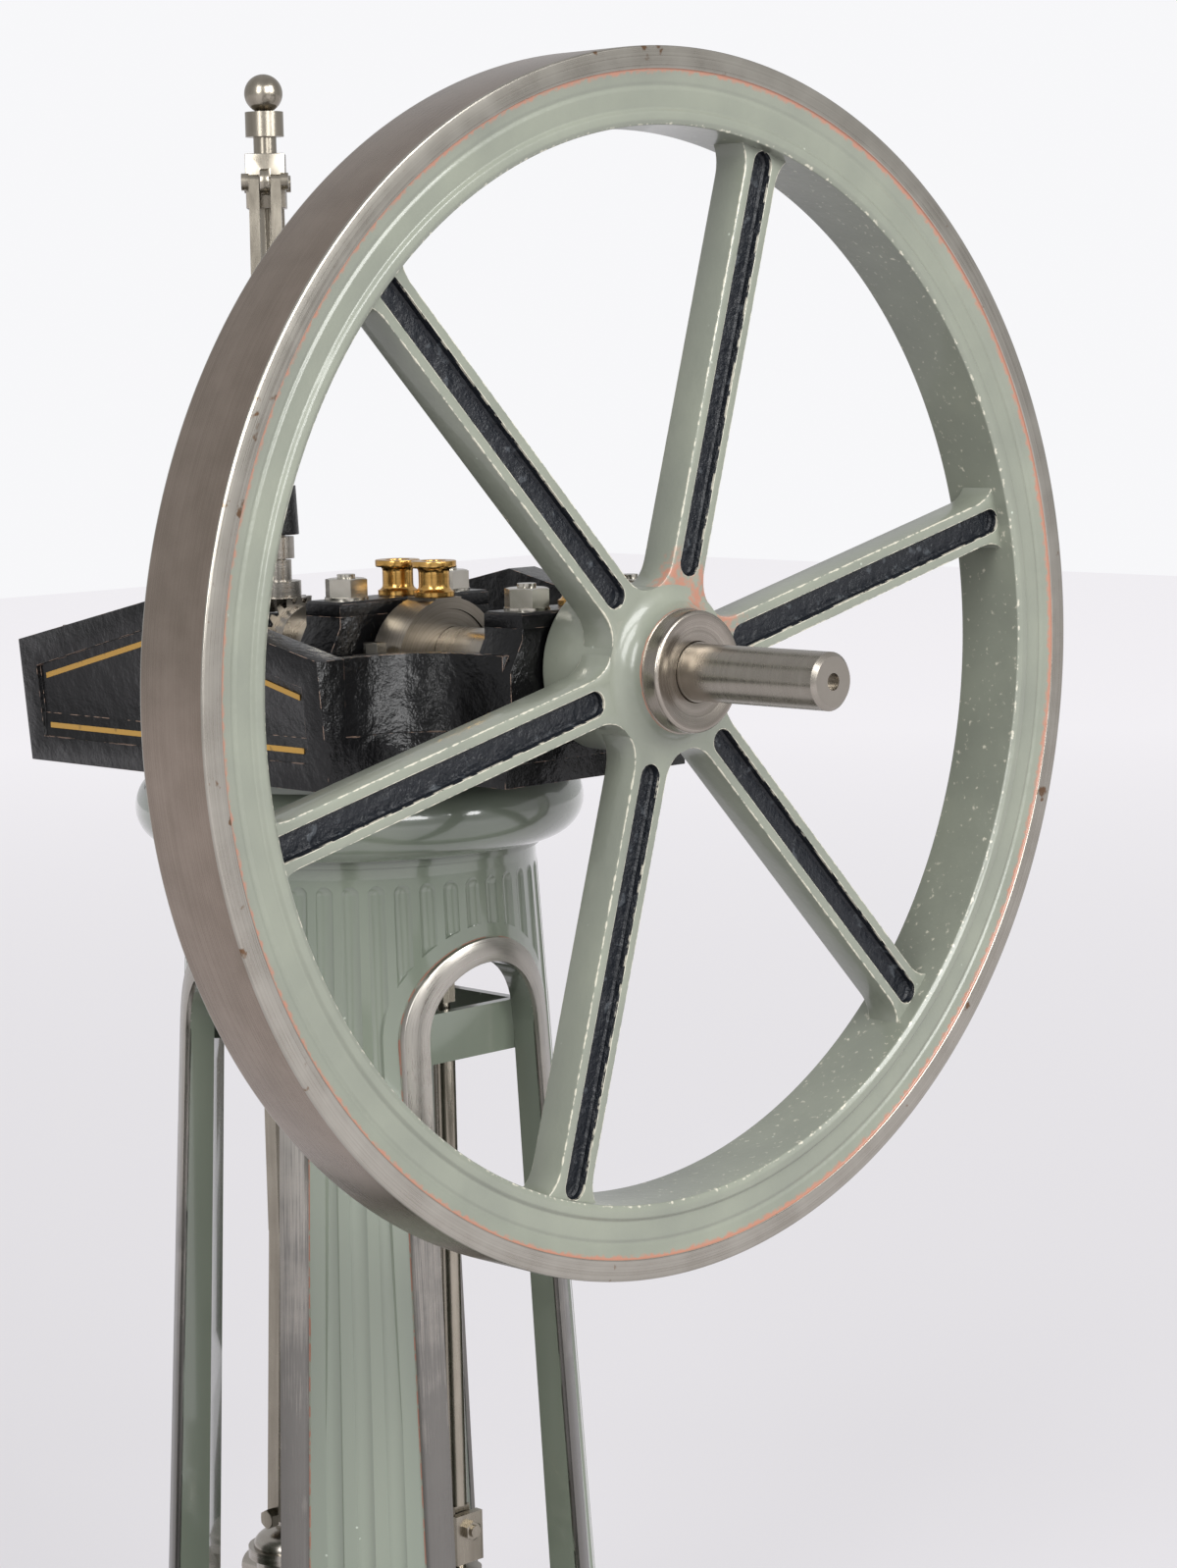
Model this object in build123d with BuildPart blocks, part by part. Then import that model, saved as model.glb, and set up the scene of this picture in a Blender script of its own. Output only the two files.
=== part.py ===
from build123d import *
import math
import os

os.makedirs("parts", exist_ok=True)

# A scale model of a vertical column steam engine. X runs across the engine, the crankshaft lies
# along Y with the flywheel at its negative end, and Z is up. The origin is on the ground under the
# column's axis, and all sizes are millimetres.

# Overall
shaft_height = 242.0
shaft_radius = 5.0
flywheel_plane = 83.0
running_fit = 0.05
rest_gap = 0.3
overrun = 5.0

# Base plate and its holding-down holes
base_width = 116.0
base_thickness = 9.0
base_corner = 7.0
base_edge = 1.5
base_bolt_margin = 9.0
base_bolt_radius = 2.7

# Column casting
plinth_radius = 55.0
plinth_height = 5.0
foot_torus_radius = 4.5
foot_torus_centre = 50.0
foot_neck_radius = 47.5
foot_neck_height = 3.0
foot_bead_radius = 2.6
foot_bead_centre = 43.8
moulding_sink = 0.5
column_foot_radius = 42.0
column_neck_radius = 31.9
column_neck_drop = 38.0
column_wall = 6.0
column_bore = 27.2
column_top_drop = 19.1
abacus_radius = 38.0
abacus_height = 3.0
capital_torus_drop = 27.6
capital_torus_centre = 34.0
capital_torus_radius = 6.9
astragal_drop = 35.9
astragal_rise = 0.8

# Arches between the legs
arch_half_width = 13.1
arch_spring_drop = 67.4
arch_foot_half_width = 16.0
arch_sill_height = 33.0

# Polished bands round the arches
band_width = 6.3
band_rise = 1.0

# Flutes of the column
flute_count = 44
flute_radius = 2.2
flute_depth = 0.65
flute_margin = 0.5
flute_top_drop = 40.6

# Entablature casting
panel_reach = 42.7
panel_half_width = 41.6
arm_half_width = 21.6
arm_reach = 61.7
entablature_wall = 4.0
entablature_floor = 4.0
entablature_rim_rise = 3.0
corner_sweep = 11.5
pediment_rise = 12.0
panel_lean = 2.0
step_height = 8.9
step_out = 0.9
field_margin = 4.6
field_depth = 0.9

# Crankshaft bearings
near_bearing_place = 58.1
middle_bearing_place = 12.0
bearing_width = 9.2
bearing_half_length = 17.8
pedestal_rise = 7.4
cap_height = 2.6
bush_radius = 6.6
bush_overhang = 0.4
stud_spread = 12.2
stud_radius = 1.6
nut_across_flats = 6.8
nut_height = 3.3
nut_chamfer = 0.4
nut_bevel_share = 0.28
nut_flat_share = 0.92
stud_end_height = 0.7
washer_radius = 3.9
washer_height = 0.5

# Brass oil cups
cup_radius = 3.1
cup_rim_radius = 4.4
cup_rim_height = 0.9
cup_height = 6.4
cup_bore = 2.2
cup_bore_depth = 4.0

# Flywheel
flywheel_radius = 101.6
rim_width = 15.0
rim_depth = 12.6
rim_face_ring = 3.6
rim_dish_width = 6.5
rim_dish_depth = 1.1
rim_lip = 1.2
spoke_count = 6
first_spoke_angle = 13.5
spoke_width = 8.0
spoke_depth = 7.0
spoke_set_back = 3.6
spoke_slot_width = 4.2
spoke_slot_depth = 1.6
spoke_slot_hub_margin = 1.9
spoke_slot_rim_margin = 0.1
spoke_fillet = 3.0
hub_radius = 14.2
hub_back = 4.6
boss_radius = 10.2
boss_front = 3.0
boss_edge = 0.8

# Crankshaft
shaft_end_radius = 4.76
shaft_front_reach = 115.4
shaft_end_chamfer = 0.7
centre_hole_radius = 1.4
crank_throw = 11.5
crank_web_thickness = 2.7
crank_pin_length = 6.4
crank_pin_radius = 3.0
crank_web_half_width = 6.4

# Eccentric
eccentric_place = 23.3
eccentric_offset_x = 1.5
eccentric_drop = 2.0
sheave_radius = 10.2
sheave_width = 6.6
strap_width = 7.2
strap_radius = 12.2
strap_ear_reach = 16.4
strap_ear_half_height = 3.0
strap_bolt_radius = 1.2
strap_bolt_spread = 14.3
strap_foot_half_width = 4.6
strap_foot_depth = 4.0
strap_nut_across_flats = 3.6
strap_nut_height = 2.2
eccentric_rod_place = 21.2
eccentric_rod_width = 2.8
eccentric_rod_depth = 3.0
eccentric_block_drop = 62.9
eccentric_neck_radius = 1.15
eccentric_neck_length = 3.6
eccentric_round_radius = 1.8
valve_pin_height = 81.4
eccentric_eye_radius = 3.0
eccentric_eye_width = 2.6
eccentric_fork_play = 1.2

# Bevel gears of the governor drive
gear_module = 0.8
shaft_gear_teeth = 21
spindle_gear_teeth = 14
gear_face = 3.0
gear_hub_length = 3.0
gear_addendum_share = 0.62
gear_dedendum_share = 1.06
gear_tooth_share = 0.36
gear_tip_share = 0.15
shaft_gear_hub_radius = 7.2
spindle_gear_hub_radius = 4.1

# Governor
governor_place = 21.2
spindle_radius = 1.35
gear_neck_radius = 2.4
gear_neck_top = 15.3
knurl_radius = 3.0
knurl_bottom = 15.6
knurl_top = 19.6
boss_bottom = 20.0
boss_top = 29.0
governor_boss_radius = 4.0
governor_boss_top_radius = 3.6
collar_bottom = 29.3
collar_top = 32.8
collar_radius = 3.0
knuckle_rise = 34.0
knuckle_spread = 3.6
knuckle_radius = 1.5
link_width = 2.0
link_thickness = 1.0
link_pin_radius = 0.6
ball_rise = 48.1
ball_radius = 9.525
ball_spread = 12.0
arm_pivot_rise = 84.3
arm_pivot_spread = 5.8
arm_width = 2.6
arm_thickness = 1.87
arm_pin_radius = 0.9
pin_head_radius = 1.55
pin_head_height = 1.35
lug_radius = 2.35
lug_thickness = 1.7
lug_play = 0.18
head_bottom = 79.6
head_top = 89.5
head_half_width = 3.6
finial_neck_radius = 2.1
finial_neck_top = 92.6
finial_collar_radius = 3.5
finial_collar_top = 97.1
finial_ball_radius = 3.5
finial_top = 103.9
governor_turn = 48.0

# Governor bracket
bracket_arm_half_width = 2.6
bracket_arm_depth = 7.0
bracket_post_place = 52.0
bracket_post_radius = 3.2
bracket_foot_radius = 5.4
bracket_foot_height = 2.4

# Guide frame inside the arches
guide_top_drop = 63.9
guide_height = 9.0
guide_half_width = 15.8
guide_reach = 25.4
guide_wall = 1.9

# Connecting rod, crosshead and piston rod
rod_big_end_radius = 6.2
rod_shank_half_width = 2.0
rod_shank_half_depth = 2.6
rod_small_end_radius = 4.2
rod_eye_width = 4.4
crosshead_cheek = 2.4
crosshead_half_width = 13.1
crosshead_pin_radius = 1.9
crosshead_base = 4.0
crosshead_clearance = 26.4
crosshead_nut_across_flats = 5.0
crosshead_nut_height = 2.0
piston_rod_radius = 2.4
slide_bar_gap = 6.0
slide_bar_width = 2.4
slide_bar_thickness = 2.4

# Cylinder
cylinder_radius = 13.0
cylinder_flange_radius = 16.6
cylinder_flange_height = 3.4
cylinder_cover_height = 3.6
cylinder_rise = 4.5
cover_stud_count = 8
cover_stud_circle = 14.6
cover_nut_across_flats = 3.4
cover_nut_height = 1.8
cover_stud_radius = 0.8
gland_radius = 6.0
gland_height = 6.0

# Steam chest and valve gear
chest_reach = 30.6
chest_half_width = 9.0
chest_height = 34.0
valve_gland_radius = 4.2
valve_gland_height = 4.2
valve_gland_clearance = 1.5
valve_rod_radius = 1.3
fork_base = 2.0
fork_half_width = 3.2
fork_slot = 3.2
fork_nut_across_flats = 3.2
fork_nut_height = 1.2
fork_pin_radius = 1.1

# Throttle valve and its rod
throttle_place = 28.0
throttle_drop = 7.5
throttle_body_radius = 6.2
throttle_body_height = 14.0
throttle_flange_radius = 7.6
throttle_flange_height = 2.0
throttle_dome_radius = 6.6
throttle_dome_rise = 3.8
throttle_lug_width = 3.2
throttle_lug_play = 0.3
throttle_eye_radius = 2.0
throttle_eye_rise = 2.2
throttle_pin_radius = 0.9
throttle_nut_across_flats = 3.4
throttle_nut_height = 1.6
throttle_rod_width = 3.2
throttle_rod_thickness = 1.8
throttle_leg_thickness = 1.6
throttle_leg_length = 56.0
throttle_pipe_radius = 2.8
throttle_pipe_bore = 1.6
throttle_pipe_drop = 4.3
throttle_inlet_length = 11.0

# Heights and radii that follow from the sizes above
column_top = shaft_height - column_top_drop
column_neck_height = shaft_height - column_neck_drop
foot_torus_height = base_thickness + plinth_height + foot_torus_radius - moulding_sink
foot_neck_bottom = foot_torus_height + foot_torus_radius
foot_bead_height = foot_neck_bottom + foot_neck_height + foot_bead_radius - moulding_sink
column_foot_height = foot_bead_height + foot_bead_radius
column_foot_bore = column_foot_radius - column_wall
arch_spring = shaft_height - arch_spring_drop
capital_torus_height = shaft_height - capital_torus_drop
entablature_top = shaft_height + entablature_rim_rise
floor_top = column_top + entablature_floor
pedestal_top = shaft_height + pedestal_rise
cap_top = pedestal_top + cap_height
column_slope = math.degrees(math.atan2(column_foot_radius - column_neck_radius,
                                       column_neck_height - column_foot_height))


def arch_outline(margin):
    """Outline of an arch opening, grown by a margin, with the ground at the sketch's zero."""
    with BuildSketch() as outline:
        with BuildLine():
            Polyline(
                (-arch_foot_half_width - margin, arch_sill_height),
                (arch_foot_half_width + margin, arch_sill_height),
                (arch_half_width + margin, arch_spring),
                (-arch_half_width - margin, arch_spring),
                close=True,
            )
        make_face()
        with Locations((0, arch_spring)):
            Circle(arch_half_width + margin)
    return outline.sketch


def cross_outline(grow):
    """Plan of the entablature: broad arms for the panels, narrow arms for the bearings."""
    with BuildSketch() as outline:
        Rectangle(2 * (panel_reach + grow), 2 * (panel_half_width + grow))
        Rectangle(2 * (arm_half_width + grow), 2 * (arm_reach + grow))
        fillet(outline.vertices().group_by(SortBy.DISTANCE)[0], corner_sweep - grow)
    return outline.sketch


# Square base plate, its holes a margin in from each edge
base_bolt_spacing = base_width - 2 * base_bolt_margin
with BuildPart() as base_plate:
    with BuildSketch():
        RectangleRounded(base_width, base_width, base_corner)
    extrude(amount=base_thickness)
    chamfer(base_plate.faces().sort_by(Axis.Z)[-1].edges(), base_edge)
    with Locations((0, 0, base_thickness)):
        with GridLocations(base_bolt_spacing, base_bolt_spacing, 2, 2):
            Hole(base_bolt_radius)
base_plate.part.label = "base_plate"

# One flute cutter, lying along the column's slope, with a rounded top
flute_top = shaft_height - flute_top_drop
flute_top_radius = column_neck_radius + (column_neck_height - flute_top) * math.tan(math.radians(column_slope))
slope_sine = math.sin(math.radians(column_slope))
slope_cosine = math.cos(math.radians(column_slope))
flute_plane = Plane(
    origin=(flute_top_radius + flute_radius - flute_depth, 0, flute_top),
    x_dir=(slope_cosine, 0, slope_sine),
    z_dir=(0, -1, 0),
)
flute_length = flute_top - arch_sill_height
with BuildPart() as flute_cutter:
    with BuildSketch(flute_plane):
        with BuildLine():
            Line((0, -flute_length), (flute_radius, -flute_length))
            Line((flute_radius, -flute_length), (flute_radius, 0))
            CenterArc((0, 0), flute_radius, 0, 90)
            Line((0, flute_radius), (0, -flute_length))
        make_face()
    revolve(axis=Axis(flute_plane.origin, (-slope_sine, 0, slope_cosine)))

# All flutes, stopping short of the arches
with BuildPart() as flute_field:
    with PolarLocations(0, flute_count, start_angle=180 / flute_count):
        add(flute_cutter.part)
    for arch_plane in (Plane.XZ, Plane.YZ):
        with BuildSketch(arch_plane):
            add(arch_outline(band_width + flute_margin))
        extrude(amount=plinth_radius, both=True, mode=Mode.SUBTRACT)

# Column: mouldings at the foot and the head, tapered shaft, four tall arches
with BuildPart() as column:
    with BuildSketch(Plane.XZ) as column_section:
        with BuildLine():
            Polyline(
                (column_foot_bore, base_thickness),
                (plinth_radius, base_thickness),
                (plinth_radius, base_thickness + plinth_height),
                (foot_neck_radius, base_thickness + plinth_height),
                (foot_neck_radius, foot_neck_bottom + foot_neck_height),
                (column_foot_radius, foot_neck_bottom + foot_neck_height),
                (column_foot_radius, column_foot_height),
                (column_neck_radius, column_neck_height),
                (column_neck_radius, shaft_height - astragal_drop),
                (column_neck_radius + astragal_rise, shaft_height - astragal_drop),
                (column_neck_radius + astragal_rise, column_top - abacus_height),
                (abacus_radius, column_top - abacus_height),
                (abacus_radius, column_top),
                (column_bore, column_top),
                (column_bore, column_neck_height),
                close=True,
            )
        make_face()
        with Locations((foot_torus_centre, foot_torus_height)):
            Circle(foot_torus_radius)
        with Locations((foot_bead_centre, foot_bead_height)):
            Circle(foot_bead_radius)
        with Locations((capital_torus_centre, capital_torus_height)):
            Circle(capital_torus_radius)
    revolve(axis=Axis.Z)
    for arch_plane in (Plane.XZ, Plane.YZ):
        with BuildSketch(arch_plane):
            add(arch_outline(0))
        extrude(amount=plinth_radius, both=True, mode=Mode.SUBTRACT)
    add(flute_field.part, mode=Mode.SUBTRACT)
column.part.label = "column"

# Bands round the four arches, following the column's taper
with BuildPart() as band_field:
    for arch_plane in (Plane.XZ, Plane.YZ):
        with BuildSketch(arch_plane):
            add(arch_outline(band_width))
            add(arch_outline(0), mode=Mode.SUBTRACT)
        extrude(amount=plinth_radius, both=True)
with BuildPart() as arch_bands:
    with BuildSketch(Plane.XZ):
        with BuildLine():
            Polyline(
                (column_foot_radius, column_foot_height),
                (column_foot_radius + band_rise, column_foot_height),
                (column_neck_radius + band_rise, column_neck_height),
                (column_neck_radius, column_neck_height),
                close=True,
            )
        make_face()
    revolve(axis=Axis.Z)
    add(band_field.part, mode=Mode.INTERSECT)
arch_bands.part.label = "arch_bands"

# Sunk field of a panel, parallel to its leaning face
pediment_top = shaft_height + pediment_rise
lean_per_height = panel_lean / (entablature_top - column_top)
pediment_lean = lean_per_height * (pediment_top - column_top)
with BuildPart() as panel_field:
    with BuildSketch(Plane.YZ.offset(panel_reach - entablature_wall)):
        with BuildLine():
            Polyline(
                (-panel_half_width + field_margin, column_top + field_margin),
                (panel_half_width - field_margin, column_top + field_margin),
                (panel_half_width - field_margin, entablature_top - field_margin),
                (0, pediment_top - field_margin),
                (-panel_half_width + field_margin, entablature_top - field_margin),
                close=True,
            )
        make_face()
    extrude(amount=entablature_wall + panel_lean + overrun)
    with BuildSketch(Plane.XZ):
        with BuildLine():
            Polyline(
                (panel_reach - field_depth, column_top),
                (panel_reach - field_depth + pediment_lean, pediment_top),
                (panel_reach + overrun + pediment_lean, pediment_top),
                (panel_reach + overrun, column_top),
                close=True,
            )
        make_face()
    extrude(amount=panel_half_width, both=True, mode=Mode.INTERSECT)

# Pedimented end panels of the entablature, leaning out towards the top
with BuildPart() as pediments:
    with BuildSketch(Plane.XZ):
        with BuildLine():
            Polyline(
                (panel_reach, column_top),
                (panel_reach + pediment_lean, pediment_top),
                (panel_reach - entablature_wall, pediment_top),
                (panel_reach - entablature_wall, column_top),
                close=True,
            )
        make_face()
    extrude(amount=panel_half_width, both=True)
    with BuildSketch(Plane.YZ):
        with BuildLine():
            Polyline(
                (-panel_half_width, column_top),
                (panel_half_width, column_top),
                (panel_half_width, entablature_top),
                (0, pediment_top),
                (-panel_half_width, entablature_top),
                close=True,
            )
        make_face()
    extrude(amount=panel_reach + panel_lean + overrun, mode=Mode.INTERSECT)
    add(panel_field.part, mode=Mode.SUBTRACT)
    mirror(about=Plane.YZ)


def pedestal_outline(low, low_half_width):
    """Side of a bearing pedestal with a flared foot and a slot for the brasses."""
    with BuildSketch() as outline:
        with BuildLine():
            Polyline(
                (-low_half_width, low),
                (low_half_width, low),
                (low_half_width, entablature_top - cap_height),
                (bearing_half_length, entablature_top + cap_height),
                (bearing_half_length, pedestal_top),
                (-bearing_half_length, pedestal_top),
                (-bearing_half_length, entablature_top + cap_height),
                (-low_half_width, entablature_top - cap_height),
                close=True,
            )
        make_face()
    return outline.sketch


# Entablature: open-topped casting with floor, cross wall and two bearing pedestals
with BuildPart() as entablature:
    with BuildSketch(Plane.XY.offset(column_top)):
        add(cross_outline(0))
    extrude(amount=step_height)
    with BuildSketch(Plane.XY.offset(column_top)):
        add(cross_outline(-step_out))
    extrude(amount=entablature_top - column_top)
    with BuildSketch(Plane.XY.offset(floor_top)):
        add(cross_outline(0))
        offset(amount=-entablature_wall, mode=Mode.REPLACE)
    extrude(amount=entablature_top - column_top, mode=Mode.SUBTRACT)
    with BuildSketch(Plane.XY.offset(column_top)):
        Circle(column_bore)
    extrude(amount=entablature_floor, mode=Mode.SUBTRACT)
    add(pediments.part)
    with BuildSketch(Plane.XZ.offset(near_bearing_place - bearing_width / 2)):
        add(pedestal_outline(floor_top, arm_half_width - step_out))
    extrude(amount=bearing_width)
    with BuildSketch(Plane.XZ.offset(middle_bearing_place - bearing_width / 2)):
        add(pedestal_outline(column_top, arm_half_width - step_out))
        with Locations((0, (column_top + shaft_height) / 2)):
            Rectangle(2 * (panel_reach - entablature_wall), shaft_height - column_top)
    extrude(amount=bearing_width)
    with BuildSketch(Plane.XZ.offset(middle_bearing_place - bearing_width)):
        with Locations((0, shaft_height)):
            Circle(bush_radius)
        with Locations((0, (shaft_height + pedestal_top) / 2)):
            Rectangle(2 * bush_radius, pedestal_top - shaft_height)
    extrude(amount=near_bearing_place + bearing_width, mode=Mode.SUBTRACT)
entablature.part.label = "entablature"

# Crankshaft bearings: brass bushes, caps with a tongue in the slot, studs and nuts
with BuildPart() as bearing_bushes:
    for place in (near_bearing_place, middle_bearing_place):
        with BuildSketch(Plane.XZ.offset(place - bearing_width / 2 - bush_overhang)):
            with Locations((0, shaft_height)):
                Circle(bush_radius)
                Circle(shaft_radius + running_fit, mode=Mode.SUBTRACT)
        extrude(amount=bearing_width + 2 * bush_overhang)
bearing_bushes.part.label = "bearing_bushes"


def bearing_cap(place):
    with BuildPart() as cap:
        with BuildSketch(Plane.XZ.offset(place - bearing_width / 2)):
            with Locations((0, pedestal_top + cap_height / 2)):
                Rectangle(2 * bearing_half_length, cap_height)
            with Locations((0, (shaft_height + pedestal_top) / 2)):
                Rectangle(2 * bush_radius, pedestal_top - shaft_height)
            with Locations((0, shaft_height)):
                Circle(bush_radius, mode=Mode.SUBTRACT)
        extrude(amount=bearing_width)
        chamfer(cap.faces().sort_by(Axis.Z)[-1].edges(), nut_chamfer)
    return cap.part


near_bearing_cap = bearing_cap(near_bearing_place)
near_bearing_cap.label = "near_bearing_cap"
middle_bearing_cap = bearing_cap(middle_bearing_place)
middle_bearing_cap.label = "middle_bearing_cap"


def hex_nut(across_flats, height, stud, end):
    """Chamfered hexagon with the stud's end standing out of it, base on the ground."""
    with BuildPart() as nut:
        with BuildSketch():
            RegularPolygon(across_flats / 2, 6, major_radius=False)
        extrude(amount=height)
        with BuildSketch(Plane.XZ):
            with BuildLine():
                Polyline(
                    (0, 0),
                    (across_flats, 0),
                    (across_flats, height - across_flats / 2 * nut_bevel_share),
                    (across_flats / 2 * nut_flat_share, height),
                    (0, height),
                    close=True,
                )
            make_face()
        revolve(axis=Axis.Z, mode=Mode.INTERSECT)
        with BuildSketch():
            Circle(stud)
        extrude(amount=height + end)
    return nut.part


cap_nut = hex_nut(nut_across_flats, nut_height, stud_radius, stud_end_height)
with BuildPart() as cap_nuts:
    for place in (near_bearing_place, middle_bearing_place):
        for side in (-1, 1):
            with Locations((side * stud_spread, -place, cap_top)):
                Cylinder(washer_radius, washer_height, align=(Align.CENTER, Align.CENTER, Align.MIN))
            with Locations((side * stud_spread, -place, cap_top + washer_height)):
                add(cap_nut)
cap_nuts.part.label = "cap_nuts"


def oil_cup():
    """Turned brass cup: waisted barrel between two rims, with a bored cap."""
    with BuildPart() as cup:
        with BuildSketch(Plane.XZ):
            with BuildLine():
                Polyline(
                    (0, 0),
                    (cup_rim_radius - cup_rim_height / 2, 0),
                    (cup_rim_radius - cup_rim_height / 2, cup_rim_height),
                    (cup_radius, cup_rim_height * 2),
                    (cup_radius, cup_height - cup_rim_height * 2),
                    (cup_rim_radius, cup_height - cup_rim_height),
                    (cup_rim_radius, cup_height),
                    (cup_bore, cup_height),
                    (cup_bore, cup_height - cup_bore_depth),
                    (0, cup_height - cup_bore_depth),
                    close=True,
                )
            make_face()
        revolve(axis=Axis.Z)
    return cup.part


brass_cup = oil_cup()
with BuildPart() as bearing_oil_cups:
    with Locations((0, -near_bearing_place, cap_top), (0, -middle_bearing_place, cap_top)):
        add(brass_cup)
bearing_oil_cups.part.label = "bearing_oil_cups"

# Flywheel: rim with a dished face, six slotted spokes with filleted roots, coned hub with a turned boss
rim_back = flywheel_plane - rim_width
rim_inner_radius = flywheel_radius - rim_depth
rim_dish_radius = flywheel_radius - rim_face_ring - rim_dish_width
spoke_face = flywheel_plane - spoke_set_back
spoke_back = spoke_face - spoke_depth
spoke_reach = rim_inner_radius + rim_lip / 2
slot_start = hub_radius + spoke_slot_hub_margin
slot_end = rim_inner_radius - spoke_slot_rim_margin
wheel_plane = Plane(origin=(0, 0, shaft_height), x_dir=(1, 0, 0), z_dir=(0, -1, 0))
wheel_axis = Axis((0, 0, shaft_height), (0, 1, 0))
with BuildPart() as flywheel:
    with BuildSketch(wheel_plane.offset(spoke_back)) as spoke_plan:
        Circle(rim_inner_radius + rim_lip)
        Circle(rim_inner_radius, mode=Mode.SUBTRACT)
        with PolarLocations(0, spoke_count, start_angle=first_spoke_angle):
            with Locations((spoke_reach / 2, 0)):
                Rectangle(spoke_reach, spoke_width)
        Circle(hub_radius)
        roots = spoke_plan.vertices().group_by(SortBy.DISTANCE)
        fillet(roots[0] + roots[1], spoke_fillet)
    extrude(amount=spoke_depth)
    with BuildSketch(Plane.YZ):
        with BuildLine():
            Polyline(
                (-flywheel_plane, shaft_height + flywheel_radius),
                (-rim_back, shaft_height + flywheel_radius),
                (-rim_back, shaft_height + flywheel_radius - rim_face_ring),
                (-rim_back - rim_dish_depth, shaft_height + rim_dish_radius),
                (-rim_back - rim_dish_depth, shaft_height + rim_inner_radius),
                (-flywheel_plane + rim_dish_depth, shaft_height + rim_inner_radius),
                (-flywheel_plane + rim_dish_depth, shaft_height + rim_dish_radius),
                (-flywheel_plane, shaft_height + flywheel_radius - rim_face_ring),
                close=True,
            )
        make_face()
    revolve(axis=wheel_axis)
    with BuildSketch(Plane.YZ):
        with BuildLine():
            Polyline(
                (hub_back - rim_back, shaft_height),
                (hub_back - rim_back, shaft_height + hub_radius),
                (-spoke_face, shaft_height + hub_radius),
                (-flywheel_plane, shaft_height + boss_radius),
                (-flywheel_plane - boss_front + boss_edge, shaft_height + boss_radius),
                (-flywheel_plane - boss_front, shaft_height + boss_radius - boss_edge),
                (-flywheel_plane - boss_front, shaft_height),
                close=True,
            )
        make_face()
    revolve(axis=wheel_axis)
    for slot_floor in (spoke_face - spoke_slot_depth, spoke_back):
        with BuildSketch(wheel_plane.offset(slot_floor)):
            with PolarLocations(0, spoke_count, start_angle=first_spoke_angle):
                with Locations(((slot_start + slot_end) / 2, 0)):
                    SlotOverall(slot_end - slot_start, spoke_slot_width)
        extrude(amount=spoke_slot_depth, mode=Mode.SUBTRACT)
    with BuildSketch(wheel_plane):
        Circle(shaft_radius + running_fit)
    extrude(amount=flywheel_plane + boss_front, mode=Mode.SUBTRACT)
flywheel.part.label = "flywheel"

# Crankshaft: journal, overhung end for the wheel, two webs and a pin, stub for the governor gear
shaft_gear_radius = gear_module * shaft_gear_teeth / 2
spindle_gear_radius = gear_module * spindle_gear_teeth / 2
cone_distance = math.hypot(shaft_gear_radius, spindle_gear_radius)
toe_share = (cone_distance - gear_face) / cone_distance
shaft_gear_heel = governor_place - spindle_gear_radius
shaft_gear_toe = governor_place - spindle_gear_radius * toe_share
gear_seat = shaft_gear_heel - gear_hub_length
shaft_plane = Plane(origin=(0, 0, shaft_height), x_dir=(1, 0, 0), z_dir=(0, 1, 0))
crank_pin_height = shaft_height - crank_throw
web_outer = crank_pin_length / 2 + crank_web_thickness
with BuildPart() as crankshaft:
    with BuildSketch(wheel_plane.offset(web_outer)):
        Circle(shaft_radius)
    extrude(amount=flywheel_plane + boss_front - web_outer)
    with BuildSketch(wheel_plane.offset(flywheel_plane + boss_front)):
        Circle(shaft_end_radius)
    extrude(amount=shaft_front_reach - flywheel_plane - boss_front)
    chamfer(crankshaft.faces().sort_by(Axis.Y)[0].edges(), shaft_end_chamfer)
    with BuildSketch(Plane.XZ.offset(shaft_front_reach - centre_hole_radius)):
        with Locations((0, shaft_height)):
            Circle(centre_hole_radius)
    extrude(amount=centre_hole_radius, mode=Mode.SUBTRACT)
    for web_side in (-web_outer, crank_pin_length / 2):
        with BuildSketch(Plane.XZ.offset(web_side)):
            with Locations((0, (shaft_height + crank_pin_height) / 2)):
                SlotCenterToCenter(crank_throw, 2 * crank_web_half_width, rotation=90)
        extrude(amount=crank_web_thickness)
    with BuildSketch(Plane.XZ.offset(-crank_pin_length / 2)):
        with Locations((0, crank_pin_height)):
            Circle(crank_pin_radius)
    extrude(amount=crank_pin_length)
    with BuildSketch(shaft_plane.offset(web_outer)):
        Circle(shaft_radius)
    extrude(amount=gear_seat - web_outer)
    with BuildSketch(shaft_plane.offset(gear_seat)):
        Circle(shaft_end_radius)
    extrude(amount=shaft_gear_toe - gear_seat)
crankshaft.part.label = "crankshaft"


def tooth_ring(pitch_radius, teeth, share, first_angle):
    """Toothed outline at one end of a bevel gear, scaled towards the cone's apex."""
    tip = (pitch_radius + gear_module * gear_addendum_share) * share
    root = (pitch_radius - gear_module * gear_dedendum_share) * share
    step = 360 / teeth
    points = []
    for tooth in range(teeth):
        centre = first_angle + tooth * step
        for radius, turn in (
            (root, -gear_tooth_share),
            (tip, -gear_tip_share),
            (tip, gear_tip_share),
            (root, gear_tooth_share),
        ):
            angle = math.radians(centre + turn * step)
            points.append((radius * math.cos(angle), radius * math.sin(angle)))
    with BuildSketch() as outline:
        with BuildLine():
            Polyline(*points, close=True)
        make_face()
    return outline.sketch


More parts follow.
